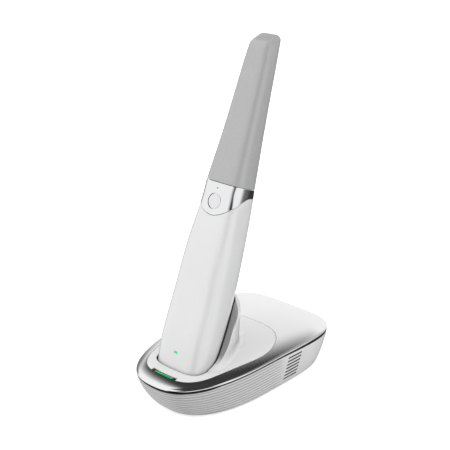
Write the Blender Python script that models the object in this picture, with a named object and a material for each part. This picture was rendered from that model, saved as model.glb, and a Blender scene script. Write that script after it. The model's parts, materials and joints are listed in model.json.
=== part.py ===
"""A wireless intraoral scanner standing in its charging dock.

The dock is a ribbed, vented tub under a domed cover, with a cradle let into the cover.
The handpiece leans back in the cradle: a lofted handle, a polished collar with the scan
button, and a hollow tip that pulls off the optics nose.

World axes: +X to the handpiece's left side, -Y to the front of the dock, +Z up.
The origin is on the ground, under the middle of the dock.
In the handpiece's own frame Z runs from its foot to its tip and -Y faces the button side.
"""
import math

import bmesh
import bpy
import numpy as np
from mathutils import Matrix

MM = 0.001

# Gaps between neighbouring pieces
GAP = 0.3 * MM
SEAM_GAP = 1.0 * MM
POCKET_CLEARANCE = 0.8 * MM
TIP_CLEARANCE = 0.35 * MM

# Dock, outline at the seam between tub and cover
DOCK_LENGTH = 174.5 * MM
DOCK_NOSE_WIDTH = 90.0 * MM
DOCK_TAIL_WIDTH = 116.0 * MM
NOSE_POWER = 2.5
TAIL_POWER = 4.5
TUB_POWER = 1.3
SEAM_HEIGHT = 31.2 * MM
OUTLINE_POINTS = 46

# Dock, outline of the underside, measured in from the outline at the seam
BASE_NOSE_SETBACK = 20.0 * MM
BASE_TAIL_SETBACK = 8.0 * MM
BASE_NOSE_SIDE = 5.5 * MM
BASE_TAIL_SIDE = 9.0 * MM
BASE_CLEARANCE = 1.5 * MM
BASE_EDGE = 2.0 * MM
TUB_WALL = 2.2 * MM
TUB_FLOOR = 2.5 * MM
TONGUE_INSET = 1.2 * MM
TONGUE_WIDTH = 1.2 * MM
TONGUE_RISE = 0.7 * MM

# Soft ribs around the tub's nose and sides
RIB_COUNT = 9
RIB_LOW = 4.5 * MM
RIB_PITCH = 2.7 * MM
RIB_DEPTH = 0.6 * MM
RIB_END = 4.0 * MM
RIB_FADE = 12.0 * MM

# Vent slots in both sides of the tub
VENT_COUNT = 7
VENT_LOW = 8.2 * MM
VENT_PITCH = 3.2 * MM
VENT_FRONT = 17.5 * MM
VENT_LENGTH = 17.5 * MM
VENT_HEIGHT = 1.2 * MM
VENT_REACH = 22.0 * MM

# Top cover
COVER_WALL = 1.9 * MM
COVER_LIP = 0.8 * MM
DOME_HEIGHT = 4.4 * MM
DOME_POWER = 4.3
TAIL_RISE = 1.2 * MM

# Cradle insert: plate, pocket and back-rest collar
INSERT_NOSE_SETBACK = 12.2 * MM
INSERT_LENGTH = 112.4 * MM
INSERT_NOSE_SIDE = 11.0 * MM
INSERT_TAIL_SIDE = 16.25 * MM
INSERT_NOSE_POWER = 3.0
INSERT_TAIL_POWER = 2.8
INSERT_WALL = 2.2 * MM
FLANGE_DROP = 2.6 * MM
FLANGE_REACH = 1.6 * MM
FLANGE_THICKNESS = 1.3 * MM
COLLAR_WIDTH = 54.0 * MM
COLLAR_RISE = 49.5 * MM
COLLAR_SHOULDER = 33.5 * MM
COLLAR_UPRIGHT = 28.0 * MM
COLLAR_TOP_WIDTH = 35.0 * MM
COLLAR_FRONT = 19.25 * MM
COLLAR_BACK = 65.65 * MM
COLLAR_FRONT_FILLET = 18.0 * MM
COLLAR_SIDE_FILLET = 6.5 * MM
COLLAR_BOW = 1.2 * MM
COLLAR_POWER = 1.65

# Light bar at the nose of the insert
BAR_LENGTH = 26.6 * MM
BAR_WIDTH = 2.7 * MM
BAR_HEIGHT = 2.2 * MM
BAR_WINDOWS = 7
BAR_PITCH = 2.9 * MM
BAR_SLOT_LENGTH = 2.3 * MM
BAR_SLOT_MARGIN = 0.4 * MM
BAR_SLANT = 0.9 * MM

# Dock internals, their places measured from the dock's two ends
FOOT_RADIUS = 6.0 * MM
FOOT_HEIGHT = 2.4 * MM
FRONT_FEET_SETBACK = 38.0 * MM
FRONT_FEET_SPACING = 28.0 * MM
REAR_FEET_SETBACK = 30.0 * MM
REAR_FEET_SPACING = 66.0 * MM
SCREW_RADIUS = 1.2 * MM
SCREW_HEAD_RADIUS = 2.6 * MM
SCREW_HEAD_HEIGHT = 1.6 * MM
FRONT_SCREW_SETBACK = 69.25 * MM
FRONT_SCREW_SPACING = 62.0 * MM
REAR_SCREW_SETBACK = 20.0 * MM
REAR_SCREW_SPACING = 54.0 * MM
POST_RADIUS = 3.4 * MM
BOSS_LENGTH = 8.0 * MM
BOARD_THICKNESS = 1.6 * MM
BOARD_HEIGHT = 13.0 * MM
BOARD_WIDTH = 70.0 * MM
BOARD_NOSE_SETBACK = 91.25 * MM
BOARD_TAIL_SETBACK = 29.25 * MM
BOARD_TAIL_WIDTH = 22.0 * MM
BOARD_POST_MARGIN = 7.0 * MM
BALLAST_WIDTH = 50.0 * MM
BALLAST_LENGTH = 42.0 * MM
BALLAST_THICKNESS = 5.0 * MM
BALLAST_SETBACK = 37.25 * MM
CAN_WIDTH = 21.0 * MM
CAN_LENGTH = 18.0 * MM
CAN_HEIGHT = 3.0 * MM
CAN_SIDE = 5.0 * MM
CAN_MARGIN = 12.0 * MM
FLEX_WIDTH = 8.0 * MM
FLEX_THICKNESS = 0.3 * MM
FLEX_REACH = 8.0 * MM
FLEX_DIP = 3.2 * MM
SOCKET_WIDTH = 9.0 * MM
SOCKET_HEIGHT = 3.3 * MM
SOCKET_DEPTH = 8.0 * MM
PORT_WALL = 0.5 * MM

# Where the handpiece's foot meets the pocket, and how far it leans back
SEAT_SETBACK = 31.6 * MM
SEAT_Z = 19.6 * MM
LEAN = math.radians(22.0)

# Handpiece: distances from its foot along its axis
HAND_LENGTH = 281.4 * MM
TIP_LENGTH = 119.4 * MM
SECTION_POINTS = 32
FOOT_POWER = 3.3
GRIP_POWER = 3.5
POCKET_BACK_POWER = 9.0
HAND_WALL = 2.0 * MM
FOOT_ROUNDING = 5.0 * MM
FOOT_ROUNDING_HEIGHT = 3.0 * MM
CAP_HEIGHT = 3.4 * MM
FOOT_AT = 7.0 * MM
FOOT_WIDTH = 45.0 * MM
FOOT_FRONT = 13.0 * MM
FOOT_BACK = 11.6 * MM
GRIP_AT = 32.0 * MM
GRIP_WIDTH = 46.6 * MM
GRIP_FRONT = 15.4 * MM
GRIP_BACK = 15.3 * MM
BELLY_SHARE = 0.4444
BELLY_WIDTH = 44.6 * MM
BELLY_FRONT = 15.3 * MM
BELLY_BACK = 20.2 * MM
WAIST_SHARE = 0.6914
WAIST_WIDTH = 41.2 * MM
WAIST_FRONT = 15.8 * MM
WAIST_BACK = 19.6 * MM
SHOULDER_BACK = 18.4 * MM
NECK_WIDTH = 34.8 * MM
NECK_FRONT = 14.2 * MM
NECK_BACK = 16.2 * MM
NECK_LENGTH = 10.0 * MM

# Polished collar with a U-shaped lower edge
COLLAR_WALL = 1.6 * MM
U_DEPTH = 25.4 * MM
U_SIDE = 7.0 * MM
U_SPREAD = 0.55

# Tip sleeve
TIP_MIDDLE_FROM_END = 79.4 * MM
TIP_MIDDLE_WIDTH = 29.0 * MM
TIP_MIDDLE_FRONT = 12.0 * MM
TIP_MIDDLE_BACK = 13.2 * MM
TIP_NARROW_FROM_END = 39.4 * MM
TIP_NARROW_WIDTH = 25.0 * MM
TIP_NARROW_FRONT = 10.9 * MM
TIP_NARROW_BACK = 9.8 * MM
TIP_END_WIDTH = 20.9 * MM
TIP_END_FRONT = 10.6 * MM
TIP_END_BACK = 7.3 * MM
TIP_WALL = 1.6 * MM
TIP_EDGE = 4.2 * MM
SLANT_DROP = 6.7 * MM
SLANT_START = 2.4 * MM
WINDOW_WIDTH = 12.0 * MM
WINDOW_LENGTH = 16.0 * MM
WINDOW_FROM_END = 8.5 * MM
MIRROR_THICKNESS = 1.0 * MM
MIRROR_WIDTH = 11.5 * MM
MIRROR_LENGTH = 10.5 * MM
MIRROR_OFFSET = 2.4 * MM

# Button and lights on the front
BUTTON_FROM_TIP = 14.7 * MM
BUTTON_RADIUS = 5.85 * MM
BUTTON_THICKNESS = 2.4 * MM
BUTTON_FLANGE = 0.9 * MM
BUTTON_STEM_RADIUS = 1.6 * MM
BUTTON_STEM_LENGTH = 3.6 * MM
BUTTON_TRAVEL = 0.8 * MM
STATUS_FROM_TIP = 4.4 * MM
STATUS_RADIUS = 0.6 * MM
BATTERY_LIGHT_AT = 26.1 * MM
BATTERY_LIGHT_WIDTH = 3.2 * MM
BATTERY_LIGHT_HEIGHT = 1.5 * MM

# Optics nose inside the tip
NOSE_REACH = 43.0 * MM
NOSE_FLANGE = 6.6 * MM
NOSE_WALL = 1.5 * MM
SEAL_AT = 10.0 * MM
SEAL_WIDTH = 2.2 * MM
SEAL_DEPTH = 0.9 * MM
GLASS_THICKNESS = 1.2 * MM
BENCH_WIDTH = 14.0 * MM
BENCH_THICKNESS = 1.6 * MM
BENCH_LENGTH = 84.0 * MM
CAMERA_RADIUS = 3.3 * MM
CAMERA_SPACING = 8.0 * MM
CAMERA_LENGTH = 40.0 * MM
LENS_THICKNESS = 1.5 * MM

# Handle internals
FRAME_PLATE = 1.6 * MM
FRAME_WIDTH = 24.0 * MM
FRAME_RAIL = 8.0 * MM
FRAME_FRONT = 5.2 * MM
FRAME_HOLES = 4
FRAME_HOLE_RADIUS = 3.0 * MM
FRAME_HOLE_LOW = 22.0 * MM
FRAME_HOLE_HIGH = 47.8 * MM
MAIN_BOARD_THICKNESS = 1.2 * MM
MAIN_BOARD_WIDTH = 21.0 * MM
BATTERY_FROM_TIP = 82.0 * MM
BATTERY_DEPTH = 13.0 * MM
SPREADER_LENGTH = 50.0 * MM
SPREADER_WIDTH = 18.0 * MM
SPREADER_THICKNESS = 1.5 * MM
SPREADER_FROM_TIP = 54.0 * MM
HAND_CAN_SIDE = 14.0 * MM
HAND_CAN_THICKNESS = 2.0 * MM
HAND_CAN_FROM_TIP = 34.0 * MM

# Charging contacts
PIN_RADIUS = 0.9 * MM
PIN_SPACING = 9.0 * MM
PIN_TRAVEL = 0.6 * MM
PAD_RADIUS = 1.9 * MM
PAD_THICKNESS = 0.8 * MM
PAD_RECESS = 1.2 * MM
CAP_SCREW_HEAD = 2.1 * MM
CAP_SCREW_SPACING = 28.0 * MM

# Places that follow from the sizes above
NOSE_Y = -DOCK_LENGTH / 2
TAIL_Y = DOCK_LENGTH / 2
SEAT_Y = NOSE_Y + SEAT_SETBACK
BOARD_FRONT = NOSE_Y + BOARD_NOSE_SETBACK
BOARD_REAR = TAIL_Y - BOARD_TAIL_SETBACK
LIP_TOP = SEAM_HEIGHT + SEAM_GAP + COVER_LIP
TIP_BASE = HAND_LENGTH - TIP_LENGTH
BELLY_AT = TIP_BASE * BELLY_SHARE
WAIST_AT = TIP_BASE * WAIST_SHARE
BUTTON_AT = TIP_BASE - BUTTON_FROM_TIP
STATUS_AT = TIP_BASE - STATUS_FROM_TIP


# Scene and mesh helpers

def clear_scene():
    for item in list(bpy.data.objects):
        bpy.data.objects.remove(item, do_unlink=True)


def material(name, colour, roughness, metallic=0.0, alpha=1.0):
    """One Principled BSDF material."""
    made = bpy.data.materials.new(name)
    made.use_nodes = True
    shader = made.node_tree.nodes["Principled BSDF"]
    shader.inputs["Base Color"].default_value = (*colour, 1.0)
    shader.inputs["Roughness"].default_value = roughness
    shader.inputs["Metallic"].default_value = metallic
    shader.inputs["Alpha"].default_value = alpha
    return made


def add_object(name, bm, look=None, parent=None):
    """Turn a bmesh into a named object with outward faces and smooth rounds."""
    bmesh.ops.recalc_face_normals(bm, faces=bm.faces)
    mesh = bpy.data.meshes.new(name)
    bm.to_mesh(mesh)
    bm.free()
    mesh.shade_smooth()
    mesh.set_sharp_from_angle(angle=math.radians(35))
    made = bpy.data.objects.new(name, mesh)
    bpy.context.collection.objects.link(made)
    made.parent = parent
    if look is not None:
        mesh.materials.append(look)
    return made


def skin(rings, closed=False):
    """Skin rings of equal length into a closed surface.

    An open run of rings gets a fan of triangles at each end. A closed run joins its last
    ring to its first, like a tyre.
    """
    bm = bmesh.new()
    loops = [[bm.verts.new(point) for point in ring] for ring in rings]
    pairs = list(zip(loops, loops[1:]))
    if closed:
        pairs.append((loops[-1], loops[0]))
    for low, high in pairs:
        count = len(low)
        for i in range(count):
            j = (i + 1) % count
            bm.faces.new((low[i], low[j], high[j], high[i]))
    if not closed:
        for loop in (loops[0], loops[-1]):
            centre = bm.verts.new(sum((v.co for v in loop), start=loop[0].co * 0) / len(loop))
            for i, vert in enumerate(loop):
                bm.faces.new((centre, vert, loop[(i + 1) % len(loop)]))
    return bm


def loft(name, rings, look=None, parent=None, closed=False):
    return add_object(name, skin(rings, closed), look, parent)


def box(bm, low, high):
    """Add a box between two corners."""
    made = bmesh.ops.create_cube(bm, size=1.0)
    size = [b - a for a, b in zip(low, high)]
    middle = [(a + b) / 2 for a, b in zip(low, high)]
    bmesh.ops.scale(bm, vec=size, verts=made["verts"])
    bmesh.ops.translate(bm, vec=middle, verts=made["verts"])


def rod(bm, centre, radius, low, high, sides=20, axis="Z"):
    """Add a closed cylinder whose axis runs along Z, or along Y, through centre."""
    along = 2 if axis == "Z" else 1
    across = [i for i in range(3) if i != along]
    rings = []
    for level in (low, high):
        ring = []
        for i in range(sides):
            angle = 2 * math.pi * i / sides
            point = [0.0, 0.0, 0.0]
            point[along] = level
            point[across[0]] = centre[0] + radius * math.cos(angle)
            point[across[1]] = centre[1] + radius * math.sin(angle)
            ring.append(bm.verts.new(point))
        rings.append(ring)
    for i in range(sides):
        j = (i + 1) % sides
        bm.faces.new((rings[0][i], rings[0][j], rings[1][j], rings[1][i]))
    bm.faces.new(rings[0])
    bm.faces.new(rings[1])


def prism(bm, outline, low, high):
    """Add a flat outline extruded along Z."""
    bottom = [bm.verts.new((x, y, low)) for x, y in outline]
    top = [bm.verts.new((x, y, high)) for x, y in outline]
    for i in range(len(outline)):
        j = (i + 1) % len(outline)
        bm.faces.new((bottom[i], bottom[j], top[j], top[i]))
    bm.faces.new(bottom)
    bm.faces.new(top)


def set_origin(made, place):
    """Move an object's origin to a place in its parent's frame and leave its mesh where it is."""
    made.data.transform(Matrix.Translation(place).inverted())
    made.location = place


def hide_tool(made):
    made.hide_render = True
    made.display_type = "WIRE"
    return made


def combine(target, tool, operation):
    """Cut or join one object with another."""
    hide_tool(tool)
    step = target.modifiers.new(tool.name, "BOOLEAN")
    step.operation = operation
    step.solver = "EXACT"
    step.object = tool


# Outlines

def spread(points, count):
    """Pick points along a closed curve, closer together where it turns."""
    fine = np.asarray(points, float)
    steps = np.roll(fine, -1, axis=0) - fine
    lengths = np.hypot(steps[:, 0], steps[:, 1])
    heading = np.unwrap(np.arctan2(steps[:, 1], steps[:, 0]))
    turns = np.abs(np.diff(heading, append=heading[0] + 2 * np.pi * np.sign(heading[-1] - heading[0])))
    measure = lengths / lengths.sum() + 0.8 * turns / turns.sum()
    reach = np.concatenate([[0.0], np.cumsum(measure)])
    marks = np.arange(count) * reach[-1] / count
    closed = np.vstack([fine, fine[:1]])
    return np.column_stack([np.interp(marks, reach, closed[:, i]) for i in (0, 1)])


def soften(points, reach, count=300):
    """Round the corners of a closed curve with a running average along it."""
    closed = np.vstack([points, points[:1]])
    steps = np.linalg.norm(np.diff(closed, axis=0), axis=1)
    run = np.concatenate([[0.0], np.cumsum(steps)])
    marks = np.arange(count) * run[-1] / count
    even = np.column_stack([np.interp(marks, run, closed[:, i]) for i in (0, 1)])
    shifted = [np.roll(even, shift, axis=0) for shift in range(-reach, reach + 1)]
    return np.mean(shifted, axis=0)


def ease(share):
    """A width that stays narrow round the nose, then widens and stays wide."""
    share = np.clip((share - 0.2) / 0.55, 0.0, 1.0)
    return share * share * (3 - 2 * share)


def egg(nose, tail, nose_width, tail_width, nose_power, tail_power, swell=np.square, fine=720):
    """A superellipse with its own corner power at each end and a width that grows to the tail."""
    angle = np.arange(fine) * 2 * np.pi / fine
    cosine, sine = np.cos(angle), np.sin(angle)
    power = np.where(cosine > 0, nose_power, tail_power)
    y = (nose + tail) / 2 - (tail - nose) / 2 * np.sign(cosine) * np.abs(cosine) ** (2 / power)
    share = swell((y - nose) / (tail - nose))
    half = (nose_width + (tail_width - nose_width) * share) / 2
    x = half * np.sign(sine) * np.abs(sine) ** (2 / power)
    return np.column_stack([x, y])


def seam_outline(count=OUTLINE_POINTS):
    return spread(egg(NOSE_Y, TAIL_Y, DOCK_NOSE_WIDTH, DOCK_TAIL_WIDTH, NOSE_POWER, TAIL_POWER), count)


def base_outline():
    fine = egg(NOSE_Y + BASE_NOSE_SETBACK, TAIL_Y - BASE_TAIL_SETBACK, DOCK_NOSE_WIDTH - 2 * BASE_NOSE_SIDE,
               DOCK_TAIL_WIDTH - 2 * BASE_TAIL_SIDE, NOSE_POWER, TAIL_POWER, swell=np.positive)
    return spread(fine, OUTLINE_POINTS)


def insert_curve():
    nose = NOSE_Y + INSERT_NOSE_SETBACK
    return egg(nose, nose + INSERT_LENGTH, DOCK_NOSE_WIDTH - 2 * INSERT_NOSE_SIDE,
               DOCK_TAIL_WIDTH - 2 * INSERT_TAIL_SIDE, INSERT_NOSE_POWER, INSERT_TAIL_POWER, swell=ease)


def insert_outline():
    return spread(insert_curve(), OUTLINE_POINTS)


def inset(outline, distance):
    """Move a closed outline inward by a distance, outward if it is negative."""
    ahead = np.roll(outline, -1, axis=0) - np.roll(outline, 1, axis=0)
    normal = np.column_stack([ahead[:, 1], -ahead[:, 0]])
    normal /= np.linalg.norm(normal, axis=1)[:, None]
    centre = outline.mean(axis=0)
    outward = np.sign(np.sum(normal * (outline - centre), axis=1)).sum()
    return outline - normal * distance * np.sign(outward)


def level(outline, height):
    """Give a flat outline a height, one value or one for each point."""
    heights = np.broadcast_to(height, len(outline))
    return np.column_stack([outline, heights])


def top_height(outline):
    """The domed top of the dock above each point: flat in the middle, upright at the seam outline."""
    x, y = outline[:, 0], outline[:, 1]
    tilt = (y - NOSE_Y) / DOCK_LENGTH
    half = (DOCK_NOSE_WIDTH + (DOCK_TAIL_WIDTH - DOCK_NOSE_WIDTH) * tilt ** 2) / 2
    power = np.where(y < 0, NOSE_POWER, TAIL_POWER)
    out = (np.abs(x / half) ** power + np.abs(2 * y / DOCK_LENGTH) ** power) ** (1 / power)
    rise = np.sqrt(1 - np.minimum(out, 1.0) ** DOME_POWER)
    return LIP_TOP + (DOME_HEIGHT + TAIL_RISE * tilt) * rise


# Dock shells

def tub_blend(height):
    """Share of the way from the underside outline to the seam outline, a rounded curve."""
    share = np.clip((height - BASE_CLEARANCE) / (SEAM_HEIGHT - BASE_CLEARANCE), 0.0, 1.0)
    return (1 - (1 - share) ** TUB_POWER) ** (1 / TUB_POWER)


def tub_ring(height, depth=0.0):
    """The tub's outer wall at a height, moved in by a depth."""
    blend = tub_blend(height)
    outline = base_outline() * (1 - blend) + seam_outline() * blend
    return inset(outline, depth)


def ribbed_ring(height, wave):
    """The tub's outer wall with the ribs' groove, which fades out before the vents."""
    outline = tub_ring(height)
    fade = np.clip((RIB_END + RIB_FADE - outline[:, 1]) / RIB_FADE, 0.0, 1.0)
    fade = fade * fade * (3 - 2 * fade)
    return level(outline - (outline - inset(outline, 1.0 * MM)) / MM * RIB_DEPTH * (1 - wave)
                 * fade[:, None], height)


def tub_rings():
    rings = [level(tub_ring(BASE_CLEARANCE, BASE_EDGE), BASE_CLEARANCE)]
    rings.append(level(tub_ring(BASE_CLEARANCE + 0.25 * BASE_EDGE, 0.2 * BASE_EDGE), BASE_CLEARANCE
                       + 0.25 * BASE_EDGE))
    for i in range(RIB_COUNT):
        foot = RIB_LOW + i * RIB_PITCH
        rings.append(ribbed_ring(foot, 0.0))
        rings.append(ribbed_ring(foot + 0.32 * RIB_PITCH, 1.0))
        rings.append(ribbed_ring(foot + 0.68 * RIB_PITCH, 1.0))
    rings.append(ribbed_ring(RIB_LOW + RIB_COUNT * RIB_PITCH, 0.0))
    rings.append(level(seam_outline(), SEAM_HEIGHT))
    tongue = SEAM_HEIGHT + TONGUE_RISE
    rings.append(level(inset(seam_outline(), TONGUE_INSET), SEAM_HEIGHT))
    rings.append(level(inset(seam_outline(), TONGUE_INSET), tongue))
    rings.append(level(inset(seam_outline(), TONGUE_INSET + TONGUE_WIDTH), tongue))
    floor = BASE_CLEARANCE + TUB_FLOOR
    for share in (0.66, 0.3, 0.0):
        height = floor + (SEAM_HEIGHT - floor) * share
        rings.append(level(tub_ring(height, TUB_WALL + RIB_DEPTH), height))
    return rings


def add_tub(look):
    tub = loft("dock_lower_shell", tub_rings(), look)
    posts = bmesh.new()
    floor = BASE_CLEARANCE + TUB_FLOOR
    for x, y in front_screws() + rear_screws():
        rod(posts, (x, y), POST_RADIUS, floor - MM, screw_top() - BOSS_LENGTH, sides=12)
    for x, y in board_posts():
        rod(posts, (x, y), POST_RADIUS * 0.7, floor - MM, BOARD_HEIGHT - GAP, sides=12)
    combine(tub, add_object("tub_posts", posts), "UNION")
    combine(tub, vent_cutter(), "DIFFERENCE")
    holes = bmesh.new()
    for x, y in foot_places():
        rod(holes, (x, y), FOOT_RADIUS + GAP, -MM, FOOT_HEIGHT + GAP, sides=18)
    for x, y in front_screws() + rear_screws():
        screw(holes, (x, y), SCREW_HEAD_RADIUS + GAP, -MM, screw_seat(), screw_top(), SCREW_RADIUS + GAP)
    combine(tub, add_object("tub_holes", holes), "DIFFERENCE")
    port = bmesh.new()
    half = SOCKET_WIDTH / 2 + GAP
    box(port, (-half, TAIL_Y - 30 * MM, socket_floor() - GAP),
        (half, TAIL_Y + 10 * MM, socket_floor() + SOCKET_HEIGHT + GAP))
    combine(tub, add_object("port_hole", port), "DIFFERENCE")
    return tub


def vent_cutter():
    """Seven level slots with slanting ends in each side, one above another."""
    cutter = bmesh.new()
    reach = DOCK_TAIL_WIDTH / 2
    for side in (-1, 1):
        for i in range(VENT_COUNT):
            height = VENT_LOW + i * VENT_PITCH
            inner = side * (reach - VENT_REACH)
            outer = side * reach
            box(cutter, (min(inner, outer), VENT_FRONT, height - VENT_HEIGHT / 2),
                (max(inner, outer), VENT_FRONT + VENT_LENGTH, height + VENT_HEIGHT / 2))
    return add_object("vent_cutter", cutter)


def cover_rings():
    """The cover from its lip over the dome to the opening, and back along its underside."""
    edge = seam_outline()
    opening = inset(insert_outline(), -GAP)
    low = SEAM_HEIGHT + SEAM_GAP
    rings = [level(edge, low), level(edge, LIP_TOP)]
    for blend in (0.004, 0.016, 0.04, 0.09, 0.17, 0.3, 0.5, 0.75, 1.0):
        outline = edge * (1 - blend) + opening * blend
        rings.append(level(outline, top_height(outline)))
    rings.append(level(opening, top_height(opening) - COVER_WALL))
    rim = inset(edge, TONGUE_INSET + TONGUE_WIDTH + GAP)
    for blend in (0.6, 0.2):
        outline = rim * (1 - blend) + opening * blend
        rings.append(level(outline, top_height(outline) - COVER_WALL))
    rings.append(level(rim, low))
    return rings


def add_cover(look):
    cover = loft("dock_top_cover", cover_rings(), look, closed=True)
    add_bosses(cover, rear_screws(), 0.5 * COVER_WALL)


def add_bosses(target, places, bite):
    """Screw bosses down from the underside of a cover or plate, bitten into it."""
    posts = bmesh.new()
    holes = bmesh.new()
    for place in places:
        top = float(top_height(np.array([place]))[0]) - bite
        rod(posts, place, POST_RADIUS, screw_top() - BOSS_LENGTH + GAP, top, sides=12)
        rod(holes, place, SCREW_RADIUS + GAP, BASE_CLEARANCE, screw_top() + GAP, sides=12)
    combine(target, add_object(target.name + "_posts", posts), "UNION")
    combine(target, add_object(target.name + "_holes", holes), "DIFFERENCE")


# Places shared by the dock's fasteners and boards

def pair(spacing, y):
    """Two places side by side, the right one first."""
    return [(-spacing / 2, y), (spacing / 2, y)]


def foot_places():
    front = pair(FRONT_FEET_SPACING, NOSE_Y + FRONT_FEET_SETBACK)
    return front + pair(REAR_FEET_SPACING, TAIL_Y - REAR_FEET_SETBACK)


def front_screws():
    return pair(FRONT_SCREW_SPACING, NOSE_Y + FRONT_SCREW_SETBACK)


def rear_screws():
    return pair(REAR_SCREW_SPACING, TAIL_Y - REAR_SCREW_SETBACK)


def screw_seat():
    return BASE_CLEARANCE + SCREW_HEAD_HEIGHT + 0.5 * MM


def screw_top():
    return SEAM_HEIGHT - 3 * MM


def board_posts():
    spacing = BOARD_WIDTH - 1.5 * BOARD_POST_MARGIN
    return pair(spacing, BOARD_FRONT + BOARD_POST_MARGIN) + pair(spacing, BOARD_REAR - BOARD_POST_MARGIN)


def socket_floor():
    return BOARD_HEIGHT + BOARD_THICKNESS + GAP


# Handpiece sections

def through(stations, at):
    """A smooth value along the axis through (distance, value) stations."""
    xs = [station[0] for station in stations]
    ys = [station[1] for station in stations]
    slopes = np.gradient(np.array(ys), np.array(xs))
    i = int(np.clip(np.searchsorted(xs, at) - 1, 0, len(xs) - 2))
    span = xs[i + 1] - xs[i]
    t = min(max((at - xs[i]) / span, 0.0), 1.0)
    low = (2 * t ** 3 - 3 * t ** 2 + 1) * ys[i] + (t ** 3 - 2 * t ** 2 + t) * span * slopes[i]
    high = (3 * t ** 2 - 2 * t ** 3) * ys[i + 1] + (t ** 3 - t ** 2) * span * slopes[i + 1]
    return float(low + high)


def section_stations():
    """Distance, half width, front and back reach of the named sections."""
    middle = HAND_LENGTH - TIP_MIDDLE_FROM_END
    narrow = HAND_LENGTH - TIP_NARROW_FROM_END
    return [
        (FOOT_AT, FOOT_WIDTH / 2, FOOT_FRONT, FOOT_BACK),
        (GRIP_AT, GRIP_WIDTH / 2, GRIP_FRONT, GRIP_BACK),
        (BELLY_AT, BELLY_WIDTH / 2, BELLY_FRONT, BELLY_BACK),
        (WAIST_AT, WAIST_WIDTH / 2, WAIST_FRONT, WAIST_BACK),
        (TIP_BASE - NECK_LENGTH, NECK_WIDTH / 2, NECK_FRONT, SHOULDER_BACK),
        (TIP_BASE, NECK_WIDTH / 2, NECK_FRONT, NECK_BACK),
        (middle, TIP_MIDDLE_WIDTH / 2, TIP_MIDDLE_FRONT, TIP_MIDDLE_BACK),
        (narrow, TIP_NARROW_WIDTH / 2, TIP_NARROW_FRONT, TIP_NARROW_BACK),
        (HAND_LENGTH, TIP_END_WIDTH / 2, TIP_END_FRONT, TIP_END_BACK),
    ]


def reaches(at):
    """Half width, front reach and back reach at a distance along the handpiece."""
    rows = section_stations()
    if at > TIP_BASE:
        rows = rows[5:]
    return [through([(row[0], row[k]) for row in rows], at) for k in (1, 2, 3)]


def section(at, depth=0.0, back_power=None):
    """A flat rounded section, its points starting at the middle of the front."""
    half, front, back = [reach - depth for reach in reaches(at)]
    share = min(max((at - FOOT_AT) / (GRIP_AT - FOOT_AT), 0.0), 1.0)
    front_power = FOOT_POWER + (GRIP_POWER - FOOT_POWER) * share
    angle = np.arange(480) * 2 * np.pi / 480
    cosine, sine = np.cos(angle), np.sin(angle)
    power = np.where(cosine > 0, front_power, back_power or front_power)
    x = half * np.sign(sine) * np.abs(sine) ** (2 / power)
    y = -np.where(cosine > 0, front, back) * np.sign(cosine) * np.abs(cosine) ** (2 / power)
    return spread(np.column_stack([x, y]), SECTION_POINTS)


def front_reach(at):
    return reaches(at)[1]


def hand_ring(at, depth=0.0):
    return level(section(at, depth), at)


def u_edge():
    """Height of the seam between handle and polished collar at each point round the section."""
    ring = section(TIP_BASE - U_SIDE)
    steps = np.linalg.norm(np.roll(ring, -1, axis=0) - ring, axis=1)
    run = np.concatenate([[0.0], np.cumsum(steps)[:-1]]) / steps.sum()
    around = np.minimum(run, 1 - run) * 2
    rise = (1 - np.cos(np.pi * np.minimum(around / U_SPREAD, 1.0))) / 2
    return TIP_BASE - U_DEPTH + (U_DEPTH - U_SIDE) * rise


def edge_ring(heights, depth):
    """A ring that follows the U-shaped seam, each point on its own section."""
    points = []
    for i, height in enumerate(heights):
        points.append((*section(height, depth)[i], height))
    return np.array(points)


# Handpiece shells

def rounded_foot():
    """Height and inset of each ring of the rounded lower end, from the flat foot up."""
    turns = [share * math.pi / 2 for share in (0.0, 0.25, 0.5, 0.75)]
    return [(FOOT_ROUNDING_HEIGHT * (1 - math.cos(turn)), FOOT_ROUNDING * (1 - math.sin(turn)))
            for turn in turns]


def add_handle(look, seat):
    split = CAP_HEIGHT + GAP
    below_u = (WAIST_AT + TIP_BASE - U_DEPTH) / 2
    outer = [hand_ring(split, 0.05 * MM)]
    for at in (FOOT_AT, (FOOT_AT + GRIP_AT) / 2, GRIP_AT, (GRIP_AT + BELLY_AT) / 2, BELLY_AT,
               (BELLY_AT + WAIST_AT) / 2, WAIST_AT, below_u):
        outer.append(hand_ring(at))
    edge = u_edge() - GAP
    outer.append(edge_ring(edge, 0.0))
    inner = [edge_ring(edge, HAND_WALL)]
    for at in (below_u, WAIST_AT, BELLY_AT, (GRIP_AT + BELLY_AT) / 2, GRIP_AT, FOOT_AT):
        inner.append(hand_ring(at, HAND_WALL))
    inner.append(hand_ring(split, HAND_WALL))
    handle = loft("handle_housing", outer + inner, look, seat, closed=True)
    slot = bmesh.new()
    half = BATTERY_LIGHT_WIDTH / 2 + GAP
    tall = BATTERY_LIGHT_HEIGHT / 2 + GAP
    reach = front_reach(BATTERY_LIGHT_AT)
    box(slot, (-half, -reach - 5 * MM, BATTERY_LIGHT_AT - tall),
        (half, -reach + 5 * MM, BATTERY_LIGHT_AT + tall))
    combine(handle, add_object("battery_light_slot", slot, parent=seat), "DIFFERENCE")
    return handle


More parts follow.
